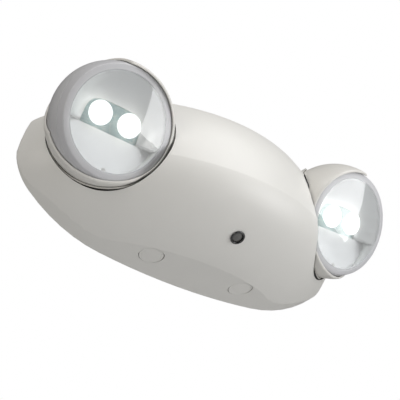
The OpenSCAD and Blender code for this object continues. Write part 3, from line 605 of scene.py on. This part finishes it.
# %% The cover's skin
def merged_copy(node, name, finish, body, sharp=30):
    """A copy of a CAD mesh, its loose triangles joined and shaded smooth below an angle."""
    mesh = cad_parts[node].data.copy()
    mesh.name = name
    shape = bmesh.new()
    shape.from_mesh(mesh)
    bmesh.ops.remove_doubles(shape, verts=shape.verts, dist=CAD_MERGE)
    shape.to_mesh(mesh)
    shape.free()
    mesh.shade_smooth()
    mesh.set_sharp_from_angle(angle=radians(sharp))
    mesh.materials.clear()
    mesh.materials.append(finish)
    piece = bpy.data.objects.new(name, mesh)
    bpy.context.scene.collection.objects.link(piece)
    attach(piece, body)
    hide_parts(node)
    return piece


# A face belongs to a surface if it lies near it and points the same way within nine degrees.
SAME_WAY, NEAR = cos(radians(9)), 0.6


def true_normals(mesh):
    """Each face joins the surface whose direction it shares, and its corners take that
    surface's own directions; other faces keep Blender's."""
    n = len(mesh.polygons)
    corners, points = np.zeros(n * 3, int), np.zeros(len(mesh.vertices) * 3)
    flat, centre = np.zeros(n * 3), np.zeros(n * 3)
    mesh.loops.foreach_get("vertex_index", corners)
    mesh.vertices.foreach_get("co", points)
    mesh.polygons.foreach_get("normal", flat)
    mesh.polygons.foreach_get("center", centre)
    points, centre = points.reshape(-1, 3) / MM, centre.reshape(-1, 3) / MM
    flat = flat.reshape(-1, 3)
    corner_points = points[corners].reshape(n, 3, 3)
    best, chosen, found = np.full(n, SAME_WAY), np.zeros((n, 3, 3)), np.zeros(n, bool)
    surfaces = (lambda p: front_surface(p, True), lambda p: front_surface(p, False),
                side_surface, tip_surface, seat_surface)
    for surface in surfaces:
        direction, off = surface(centre)
        match = (direction * flat).sum(-1)
        take = (match > best) & (off < NEAR)
        chosen[take] = surface(corner_points[take])[0]
        best[take], found[take] = match[take], True
    mesh.normals_split_custom_set(chosen.reshape(-1, 3).tolist())
    print(f"{found.sum()} of {n} faces follow a true surface")


cover = merged_copy("front_cover", "cover_skin", housing_white, "housing")
true_normals(cover.data)

# %% [markdown]
# Plugs, button and bezel
# -----------------------
# The two discs in the underside close the conduit entries. Each is a turned disc with a soft
# edge, sunk a hair below the skin. The test button is a shallow dome in a black collar. All
# three are turned parts, so each is a short profile.

# %% Plug and button frames
PLUG_X, PLUG_Y, PLUG_R, PLUG_LEAN = 40.0, 22.0, 8.6, 11.5
PLUG_FACE, PLUG_MIDDLE, PLUG_BACK = -0.2, -1.9, -3.6
GROOVE_R, GROOVE_HALF, GROOVE_LOW = 7.15, 0.25, -0.32
BUTTON_DROP, BUTTON_R, BUTTON_EDGE, BUTTON_CROWN = 39.4, 3.6, 0.15, 0.55
STEM_TOP, FLANGE_TOP, STEM_LOW, STEM_FLANGE_R = -0.4, -3.4, -4.6, 4.5
PLUG_ROUND, COLLAR_ROUND, DISC_AROUND, CAP_AROUND, CAP_RINGS = 0.35, 0.3, 96, 72, 12
COLLAR_PROFILE = [(3.85, -3.0), (3.85, 0.75), (4.15, 1.25), (5.0, 1.1), (5.4, 0.35), (4.7, 0.3),
                  (4.7, -3.0), (3.85, -3.0)]
PLUG_ARC_R = EDGE_R - PLUG_Y * tan(SIDE_DRAFT)
PLUG_EDGE = EDGE_C[1] + sqrt(PLUG_ARC_R ** 2 - PLUG_X ** 2)
PLUG_ROLL = np.arcsin(PLUG_X / PLUG_ARC_R)
BUTTON_ANGLE = np.arcsin((BUTTON_DROP - RIDGE_DROP) / LOW_H)
BUTTON_Y = BODY_DEPTH - LOWER_FALL * (1 - cos(BUTTON_ANGLE))
BUTTON_TILT = np.degrees(atan2(LOWER_FALL * sin(BUTTON_ANGLE), LOW_H * cos(BUTTON_ANGLE)))


def plug_axes():
    """Half a turn about x less the lean, then the roll about y: z looks down and forward."""
    a, b = pi - radians(PLUG_LEAN), PLUG_ROLL
    lean = np.array([[1, 0, 0], [0, cos(a), -sin(a)], [0, sin(a), cos(a)]])
    roll = np.array([[cos(b), 0, sin(b)], [0, 1, 0], [-sin(b), 0, cos(b)]])
    return lean @ roll


PLUG, BUTTON = plug_axes(), aim(0, BUTTON_TILT)
print("button leans", round(BUTTON_TILT, 1), "degrees; plug looks along", PLUG[:, 2].round(3))

# %% Plugs, button and bezel
plug = rounded([(0, PLUG_FACE), (GROOVE_R - GROOVE_HALF, PLUG_FACE), (GROOVE_R, GROOVE_LOW),
                (GROOVE_R + GROOVE_HALF, PLUG_FACE), (PLUG_R, PLUG_FACE), (PLUG_R, PLUG_MIDDLE),
                (PLUG_R, PLUG_BACK), (0, PLUG_BACK)], PLUG_ROUND)
plug_origin = [PLUG_X, -PLUG_Y, -PLUG_EDGE]
for side_name, side in SIDES.items():
    disc = put(turned(plug, DISC_AROUND), PLUG, side, plug_origin)
    make(f"plug_disc_{side_name}", [sheet(disc)], plug_white, "housing",
         [f"conduit_plug_{side_name}"])

button_origin = [0, -BUTTON_Y, -BUTTON_DROP]
collar = turned(rounded(COLLAR_PROFILE, COLLAR_ROUND), DISC_AROUND)
make("button_collar", [sheet(put(collar, BUTTON, 1, button_origin))],
     bezel_black, "housing", ["button_bezel"])
rise = np.linspace(0, 1, CAP_RINGS)
dome = np.stack([BUTTON_R * rise, BUTTON_EDGE + BUTTON_CROWN * (1 - rise ** 2)], -1)
stem = [(BUTTON_R, STEM_TOP), (BUTTON_R, FLANGE_TOP), (STEM_FLANGE_R, FLANGE_TOP),
        (STEM_FLANGE_R, STEM_LOW), (0, STEM_LOW)]
cap = turned(np.concatenate([dome, stem]), CAP_AROUND)
make("button_cap", [sheet(put(cap, BUTTON, 1, button_origin))],
     button_grey, "button", ["test_button"])

# %% [markdown]
# Ball hoods and seat rings
# -------------------------
# A hood is a ball shell, open in front. Its rim is where the ball meets two cuts: a wide
# cylinder across it, which leaves the rim high at the pins and low at the sides, and a
# slanting plane above and outward. On each meridian the angle of the rim is found by halving
# an interval, and a round lip joins the wall's two sides. Behind, the ball is flat where it
# rests in its seat, so points below that plane are slid up to it. The neck that carries it
# through the housing is a tube about the swivel axis. The ring is an open trim that closes
# the gap between ball and housing. It keeps its CAD shape, as a merged copy.

# %% Hoods and rings
HOOD_R, HOOD_WALL = 43.4, 1.7
RIM_TOP, BOW_R, BOW_X = 14.5, 106.6, 13.8
CUT, CUT_LEAN, CUT_TURN = 23.3, radians(66), radians(29.8)
FOOT, FOOT_T, NECK_R, NECK_IN, NECK_END = -25.7, 1.8, 12.0, 9.0, -33.9
HALVINGS, LIP_FROM, LIP_TO, NECK_ROUND, NECK_AROUND = 40, 0.08, 0.92, 0.4, 96


def on_ball(radius, angle, around):
    """Point = radius x (sin a cos t, sin a sin t, cos a), with a from the rim's axis."""
    ring = np.stack([np.sin(angle) * np.cos(around), np.sin(angle) * np.sin(around),
                     np.cos(angle) + 0 * around], -1)
    return radius * ring


def rim_angle(radius, around):
    """Halves the interval between front pole and back pole until the rim's angle is found:
    a point belongs to the hood if it lies inside the bow's cylinder and behind the cut."""
    cut_axis = np.array([sin(CUT_LEAN) * cos(CUT_TURN), sin(CUT_LEAN) * sin(CUT_TURN),
                         cos(CUT_LEAN)])
    bow_z = RIM_TOP - sqrt(BOW_R ** 2 - BOW_X ** 2)
    off, on = np.zeros_like(around), np.full_like(around, pi)
    for _ in range(HALVINGS):
        middle = (off + on) / 2
        p = on_ball(radius, middle, around)
        in_bow = (p[..., 0] + BOW_X) ** 2 + (p[..., 2] - bow_z) ** 2 < BOW_R ** 2
        kept = in_bow & (p @ cut_axis < CUT)
        off, on = np.where(kept, off, middle), np.where(kept, middle, on)
    return on


def hood_ball(around=360, steps=48, lip=9):
    """Outer ball from its back to the rim, a round lip, and the inner ball to its back."""
    t = np.linspace(0, 2 * pi, around, endpoint=False)
    inset, middle = 0.5 * HOOD_WALL / HOOD_R, HOOD_R - HOOD_WALL / 2
    share = np.linspace(0, 1, steps)[:, None]
    rows = [on_ball(HOOD_R, pi + (rim_angle(HOOD_R, t) + inset - pi) * share, t)]
    for s in np.linspace(LIP_FROM, LIP_TO, lip):
        radius = middle + HOOD_WALL / 2 * cos(pi * s)
        rows.append(on_ball(radius, rim_angle(radius, t) + inset * (1 - sin(pi * s)), t)[None])
    inner = HOOD_R - HOOD_WALL
    rows.append(on_ball(inner, pi + (rim_angle(inner, t) + inset - pi) * share[::-1], t))
    return np.concatenate(rows)


def flatten_foot(points, side):
    """Points behind the foot plane slide along the swivel axis up to it; the inside has a
    plane of its own."""
    axis = SWIVEL[:, 2] * [side, 1, 1]
    local = points - BALL * [side, 1, 1]
    height, reach = local @ axis, np.linalg.norm(local, axis=-1)
    plane = np.where(reach > HOOD_R - HOOD_WALL / 2, FOOT, FOOT + FOOT_T)
    return points + np.maximum(plane - height, 0)[..., None] * axis


neck = rounded([(NECK_IN, FOOT), (NECK_R, FOOT), (NECK_R, NECK_END), (NECK_IN, NECK_END),
                (NECK_IN, FOOT)], NECK_ROUND)
for side_name, side in SIDES.items():
    ball = flatten_foot(put(hood_ball(), RIM, side), side)
    tube = put(turned(neck, NECK_AROUND), SWIVEL, side)
    make(f"ball_hood_{side_name}", [sheet(ball), sheet(tube)], hood_white,
         f"head_{side_name}", [f"hood_{side_name}"], sharp=50)
    ring = merged_copy(f"seat_ring_{side_name}", f"trim_ring_{side_name}", ring_white,
                       "housing")
    print(f"trim_ring_{side_name}: {len(ring.data.polygons)} faces")

# %% [markdown]
# The lens
# --------
# The lens is one clear moulding: a short skirt that carries on the ball's own curve, a
# shoulder, and a flatter dome in front. Glass only looks like glass when it has two sides, so
# the profile goes over the outside, under the edge and back along the inside. The lamp's back
# is painted light grey, as it shows through the lens.

# %% Clear lens
LAMP_R, LENS_WALL, SKIRT_H, SHOULDER_H, DOME_RISE = 41.2, 1.5, 8.0, 14.8, 4.5
CORNER_SPAN, CORNER_R, CORNER_STEPS, SKIRT_STEPS, LENS_AROUND = 1.6, 0.7, 7, 8, 192
OPEN_R, CLEAR_HAZE, RING_HAZE, SKIRT_HAZE = 33.6, 0.13, 0.72, 0.16
RING_FROM, RING_TO, SKIRT_FROM, SKIRT_TO = 0.2, 1.0, -0.6, 0.2
LENS_EDGE = sqrt(LAMP_R ** 2 - SHOULDER_H ** 2)
DOME_R = (LENS_EDGE ** 2 + DOME_RISE ** 2) / (2 * DOME_RISE)
DOME_C = SHOULDER_H + DOME_RISE - DOME_R


def lens_side(shrink, steps=26):
    """Height over radius: a flat sphere in front, the ball's sphere at the side, and the
    corner where they cross, for the outer side (shrink 0) or the inner side (the wall)."""
    big, ball = DOME_R - shrink, LAMP_R - shrink
    h_cross = (ball ** 2 - big ** 2 + DOME_C ** 2) / (2 * DOME_C)
    r_cross = sqrt(ball ** 2 - h_cross ** 2)
    r = np.linspace(0, r_cross - CORNER_SPAN, steps)
    front = np.stack([r, DOME_C + np.sqrt(big ** 2 - r ** 2)], -1)
    h = np.linspace(h_cross - CORNER_SPAN, SKIRT_H, SKIRT_STEPS)
    skirt = np.stack([np.sqrt(ball ** 2 - h ** 2), h], -1)
    corner = rounded([front[-1], (r_cross, h_cross), skirt[0]], CORNER_R, CORNER_STEPS)
    return np.concatenate([front[:-1], corner, skirt[1:]])


def clear_plastic(name):
    """Clear in front of the reflector; outwards from there, by the distance from the lamp's
    axis, the moulding turns milky and hides the wall behind it. Light that only passes
    through on its way to a lamp part goes straight."""
    paint = Paint(name)
    wave = paint.noise(11, 2)
    _, reach = paint.about_axis(LAMP[:, 2])
    ring = paint.ramp(reach, OPEN_R + RING_FROM, OPEN_R + RING_TO)
    skirt = paint.ramp(reach, LENS_EDGE + SKIRT_FROM, LENS_EDGE + SKIRT_TO)
    share = CLEAR_HAZE + ring * RING_HAZE + skirt * SKIRT_HAZE
    clear = paint.add("ShaderNodeBsdfPrincipled", {}, {
        "Base Color": tone(0.96, 0.97, 0.98), "Roughness": 0.02 + wave * 0.02, "IOR": 1.47,
        "Transmission Weight": 1.0, "Normal": paint.bump(wave, 0.01, 0.08)})["BSDF"]
    haze = paint.add("ShaderNodeBsdfPrincipled", {}, {
        "Base Color": tone(0.60, 0.60, 0.62), "Roughness": 0.30 + wave * 0.05})["BSDF"]
    milky = paint.add("ShaderNodeMixShader", {}, {0: share, 1: clear, 2: haze})["Shader"]
    path = paint.add("ShaderNodeLightPath")
    straight = paint.add("ShaderNodeBsdfTransparent", {}, {
        "Color": tone(0.93, 0.94, 0.95)})["BSDF"]
    passing = path["Is Shadow Ray"] + path["Is Diffuse Ray"]
    both = paint.add("ShaderNodeMixShader", {}, {0: passing, 1: milky, 2: straight})["Shader"]
    paint.add("ShaderNodeOutputMaterial", {}, {"Surface": both})
    return paint.material


lens_clear = clear_plastic("lens_clear")
lens_profile = np.concatenate([lens_side(0), lens_side(LENS_WALL)[::-1]])
for side_name, side in SIDES.items():
    glass = put(turned(lens_profile, LENS_AROUND), LAMP, side)
    make(f"clear_lens_{side_name}", [sheet(glass)], lens_clear, f"lamp_{side_name}",
         [f"lens_{side_name}"], sharp=45)
    shell = merged_copy(f"lamp_shell_{side_name}", f"lamp_back_{side_name}", shell_grey,
                        f"lamp_{side_name}")
    print(f"lamp_back_{side_name}: {len(shell.data.polygons)} faces")

# %% [markdown]
# The reflector
# -------------
# Behind the lens is a metallised tray. Its upper part is a bowl that rises from the edge of
# the light board to the round opening. Its lower part is one flat facet that throws light
# down to the floor. Both are grids between two curves: the bowl between the board's edge and
# the opening, the facet between a straight line and the lower arc. Short walls join them.

# %% Reflector surfaces
OPEN_H, FLOOR_H, BOARD_FACE = 13.74, 3.5, 2.05
BOARD_HALF, BOARD_LOW, BOARD_HIGH, BOARD_TURN, BOARD_UP = 21.5, -8.0, 12.0, 8.0, 2.0
FACET_SLOPE, FLANGE_R, BOARD_ROUND, BOWL_POWER = 0.399, 35.4, 0.5, 1.8
FLANGE_TOP_DROP, FLANGE_LOW_DROP, TRAY_WALL = 0.1, 1.2, 0.5
OPTIC_PITCH, OPTIC_R, OPTIC_LOW, OPTIC_H = 22.0, 8.4, 2.3, 6.0
# The spill's size, height and fall shape a painted pool of light on each tray. The next line
# gives its strength per side, next to the optics' own lamp glow.
SPILL, SPILL_H, SPILL_FALL = 10.5, 6.0, 2.2
TRAY_PAINTED_GLOW, OPTIC_GLOW = {"right": 0.45, "left": 0.85}, {"right": 1.5, "left": 1.0}


def lifted(flat, height):
    """Flat points with a height each."""
    height = np.broadcast_to(np.asarray(height, float), flat.shape[:-1])
    return np.concatenate([flat, height[..., None]], -1)


def blend_rows(a, b, v):
    """Rows between two curves of points, at the shares v."""
    v = np.asarray(v)[:, None, None]
    return a[None] * (1 - v) + b[None] * v


def bowl_height(share):
    """Height of the bowl at a share of the way from the board's edge to the opening."""
    return FLOOR_H + (OPEN_H - FLOOR_H) * share ** BOWL_POWER


def reflector_sheets(n=121, rows=22):
    """Bowl: height grows with a power of the share between board edge and opening. Facet:
    height grows evenly with distance below the board."""
    low = np.arcsin(-BOARD_LOW / OPEN_R)
    u = np.linspace(0, 1, n)
    t = pi + low - u * (pi + 2 * low)
    turn = pi * (1 - u)
    wide = np.sign(np.cos(turn)) * np.abs(np.cos(turn)) ** BOARD_ROUND
    high = np.abs(np.sin(turn)) ** BOARD_ROUND
    inner = np.stack([BOARD_HALF * wide, BOARD_LOW + (BOARD_HIGH - BOARD_LOW) * high], -1)
    outer = OPEN_R * np.stack([np.cos(t), np.sin(t)], -1)
    v = np.linspace(0, 1, rows)
    bowl = lifted(blend_rows(inner, outer, v), bowl_height(v)[:, None])
    recess = np.stack([lifted(inner, BOARD_FACE), lifted(inner, FLOOR_H)])
    x = OPEN_R * cos(low) * np.linspace(-1, 1, n)
    line = np.stack([x, np.full(n, BOARD_LOW)], -1)
    arc = np.stack([x, -np.sqrt(OPEN_R ** 2 - x ** 2)], -1)
    flat = blend_rows(line, arc, v)
    facet = lifted(flat, FLOOR_H + FACET_SLOPE * (BOARD_LOW - flat[..., 1]))
    rim_wall = np.stack([facet[-1], lifted(arc, OPEN_H)])
    share = np.clip((np.abs(x) - BOARD_HALF) / (OPEN_R * cos(low) - BOARD_HALF), 0, 1)
    edge = np.where(np.abs(x) < BOARD_HALF, BOARD_FACE, bowl_height(share))
    step = np.stack([lifted(line, FLOOR_H), lifted(line, edge)])
    around = np.linspace(0, 2 * pi, 2 * n)
    circle = np.stack([np.cos(around), np.sin(around)], -1)
    flange = np.stack([lifted(circle * OPEN_R, OPEN_H),
                       lifted(circle * FLANGE_R, OPEN_H - FLANGE_TOP_DROP),
                       lifted(circle * FLANGE_R, OPEN_H - FLANGE_LOW_DROP)])
    return [bowl, recess, facet, rim_wall, step, flange]


def spun(points, up=0.0):
    """Turns local points by the board's turn about the lamp's own axis, then moves them up."""
    a = radians(BOARD_TURN)
    turn = np.array([[cos(a), -sin(a), 0], [sin(a), cos(a), 0], [0, 0, 1]])
    return points @ turn.T + [0, up, 0]


def painted_glow_metal(name, side, glow):
    """Soft metal with a painted pool of light: emission about each light's middle, as strong as
    (1 + (distance / SPILL) squared) to the power -SPILL_FALL, stands in for the lamps' spill."""
    paint = Paint(name)
    place = paint.add("ShaderNodeTexCoord")["Object"]
    spill = 0.0
    for s in (-1, 1):
        middle = put(spun(np.array([s * OPTIC_PITCH / 2, 0, SPILL_H]), BOARD_UP), LAMP, side)
        distance = paint.vector("DISTANCE", place, tuple(middle * MM))["Value"]
        away = distance * (1 / (SPILL * MM))
        spill = spill + (1 + away * away) ** -SPILL_FALL
    cloud = paint.noise(8, 3)
    peel = paint.noise(2.2, 2)
    # Painted light: a warm emission colour where the spill is strong.
    light = paint.mix(spill, tone(0, 0, 0), tone(1.0, 0.985, 0.84))
    base = paint.mix(cloud, tone(0.66, 0.665, 0.655), tone(0.72, 0.725, 0.715))
    return paint.finish(Base_Color=base, Metallic=0.35 + cloud * 0.1,
                        Roughness=0.34 + peel * 0.08, Emission_Color=light,
                        Emission_Strength=glow, Normal=paint.bump(peel, 0.03, 0.25))


for side_name, side in SIDES.items():
    # Each tray's material carries a painted glow of spilled lamp light.
    silver = painted_glow_metal(f"reflector_silver_{side_name}", side, TRAY_PAINTED_GLOW[side_name])
    grids = [sheet(put(spun(s), LAMP, side), False, False) for s in reflector_sheets()]
    tray = make(f"reflector_tray_{side_name}", grids, silver, f"lamp_{side_name}",
                [f"reflector_{side_name}"], sharp=28)
    axis = LAMP[:, 2] * [side, 1, 1]
    if sum(axis @ np.array(f.normal) * f.area for f in tray.data.polygons) < 0:
        tray.data.flip_normals()
    wall = tray.modifiers.new("tray wall", "SOLIDIFY")
    wall.thickness, wall.offset = TRAY_WALL * MM, -1

# %% [markdown]
# Light optics
# ------------
# Over each light source sits a cone of clear plastic that gathers its light. When the lamp is
# on, its whole front face is a white disc. It is a turned part with a crowned face, and its
# finish gives light all over. Three small posts stand on the flange of each reflector.

# %% Optics and flange posts
def glowing(name, strength):
    """White plastic that gives light, a little less where a fine noise is low."""
    paint = Paint(name)
    cells = paint.noise(1.4, 1)
    light = paint.mix(cells * 0.5, tone(1.0, 1.0, 0.97), tone(0.90, 0.98, 1.0))
    return paint.finish(Base_Color=light, Roughness=0.2 + cells * 0.1, Emission_Color=light,
                        Emission_Strength=strength)


OPTIC_TOP, CONE_SHARE, CONE_RISE = OPTIC_LOW + OPTIC_H, 0.62, 0.7
CROWN_IN, CROWN_DROP, DIP_OUT, DIP_IN, DIP = 0.9, 0.35, 4.2, 2.2, 0.25
POST_R, POST_TOP, POST_LOW, POST_BEVEL = 1.6, 13.95, 13.3, 0.3
CONE_ROUND, POST_ROUND, CONE_AROUND, POST_AROUND = 0.5, 0.2, 72, 40
POSTS = ((22.6, -25.0), (1.9, -32.8), (-17.9, -30.4))
cone = rounded([(OPTIC_R * CONE_SHARE, OPTIC_LOW), (OPTIC_R, OPTIC_LOW + OPTIC_H * CONE_RISE),
                (OPTIC_R, OPTIC_TOP - CROWN_DROP), (OPTIC_R - CROWN_IN, OPTIC_TOP),
                (DIP_OUT, OPTIC_TOP - DIP), (DIP_IN, OPTIC_TOP)], CONE_ROUND)
cone = np.concatenate([[(0, OPTIC_LOW)], cone, [(0, OPTIC_TOP)]])
post = rounded([(0, POST_TOP), (POST_R - POST_BEVEL, POST_TOP), (POST_R, POST_TOP - POST_BEVEL),
                (POST_R, POST_LOW), (0, POST_LOW)], POST_ROUND)
for side_name, side in SIDES.items():
    glow = glowing(f"optic_clear_{side_name}", OPTIC_GLOW[side_name])
    pair = [turned(cone, CONE_AROUND) + [s * OPTIC_PITCH / 2, 0, 0] for s in (-1, 1)]
    make(f"light_cones_{side_name}", [sheet(put(spun(c, BOARD_UP), LAMP, side)) for c in pair],
         glow, f"lamp_{side_name}", [f"led_optics_{side_name}"])
    posts = [sheet(put(turned(post, POST_AROUND) + [x, y, 0], LAMP, side)) for x, y in POSTS]
    make(f"flange_posts_{side_name}", posts, post_white, f"lamp_{side_name}")

# %% [markdown]
# Floor, light and background
# ---------------------------
# A pale floor lies well below the light. Four soft sources bring out the photograph's tones:
# the key stands above and to the right, a wide one in front and to the right, a weak warm one
# on the left and a small one above on the left. The background is white to the camera and
# through clear parts, and a soft grey to everything else, so that it lights the object gently
# and nothing burns out.

# %% Studio
FLOOR_HEIGHT, FLOOR_HALF, FLOOR_LINES = -760.0, 4000.0, 9
MIDDLE, WHITE_LIGHT, WARM_LIGHT = (0, -0.04, 0), (1, 1, 1), (1.0, 0.96, 0.90)
# Each source: name, place, target and size in metres, watts and colour.
SOFTBOXES = [
    ("key_light", (0.6, -1.35, 1.6), MIDDLE, (1.6, 1.6), 28, WHITE_LIGHT),
    ("front_light", (1.3, -1.6, 0.0), MIDDLE, (1.2, 1.0), 18, WHITE_LIGHT),
    ("left_light", (-1.3, -0.5, 0.25), (-0.1, -0.05, 0), (0.5, 0.9), 4.5, WARM_LIGHT),
    ("top_light", (-0.9, -0.7, 1.6), MIDDLE, (0.9, 0.9), 9, WHITE_LIGHT),
]
AIR_GREY, AIR_WHITE = tone(0.095, 0.095, 0.093), tone(1, 1, 1)


def add_floor():
    """A square grid at one height."""
    a = np.linspace(-FLOOR_HALF, FLOOR_HALF, FLOOR_LINES)
    x, y = np.meshgrid(a, a)
    grid = np.stack([x, y, 0 * x + FLOOR_HEIGHT], -1)
    mesh = bpy.data.meshes.new("studio_floor")
    faces = grid_faces(FLOOR_LINES, FLOOR_LINES, False, False)
    mesh.from_pydata((grid.reshape(-1, 3) * MM).tolist(), [], faces.tolist())
    paint = Paint("studio_floor")
    speck = paint.noise(30, 3)
    base = paint.mix(speck, tone(0.80, 0.80, 0.80), tone(0.84, 0.84, 0.84))
    mesh.materials.append(paint.finish(Base_Color=base, Roughness=0.8 + speck * 0.1))
    floor = bpy.data.objects.new("studio_floor", mesh)
    bpy.context.scene.collection.objects.link(floor)


def add_softbox(name, place, target, size, watts, colour):
    """A rectangular light whose -Z looks from its place to its target."""
    data = bpy.data.lights.new(name, "AREA")
    data.shape, data.size, data.size_y = "RECTANGLE", size[0], size[1]
    data.energy, data.color = watts, colour
    box = bpy.data.objects.new(name, data)
    bpy.context.scene.collection.objects.link(box)
    z = unit_rows(np.array(place, float) - np.array(target, float))
    x = unit_rows(np.cross([0, 0, 1], z))
    y = np.cross(z, x)
    rows = [[x[i], y[i], z[i], place[i]] for i in range(3)]
    box.matrix_world = Matrix(rows + [[0, 0, 0, 1]])


def set_world():
    """Background strength 1: white where the camera or clear plastic looks, grey elsewhere."""
    world = bpy.data.worlds.new("studio_air")
    bpy.context.scene.world = world
    world.use_nodes = True
    tree = world.node_tree
    tree.nodes.clear()
    path, mix = tree.nodes.new("ShaderNodeLightPath"), tree.nodes.new("ShaderNodeMix")
    seen, air = tree.nodes.new("ShaderNodeMath"), tree.nodes.new("ShaderNodeBackground")
    out = tree.nodes.new("ShaderNodeOutputWorld")
    seen.operation, mix.data_type = "MAXIMUM", "RGBA"
    inputs = {s.name: s for s in mix.inputs if s.enabled}
    inputs["A"].default_value, inputs["B"].default_value = AIR_GREY, AIR_WHITE
    tree.links.new(path.outputs["Is Camera Ray"], seen.inputs[0])
    tree.links.new(path.outputs["Is Transmission Ray"], seen.inputs[1])
    tree.links.new(seen.outputs[0], inputs["Factor"])
    tree.links.new(next(s for s in mix.outputs if s.enabled), air.inputs["Color"])
    tree.links.new(air.outputs[0], out.inputs["Surface"])


add_floor()
for source in SOFTBOXES:
    add_softbox(*source)
set_world()
bpy.context.scene.view_settings.view_transform = "Standard"
print("studio ready")
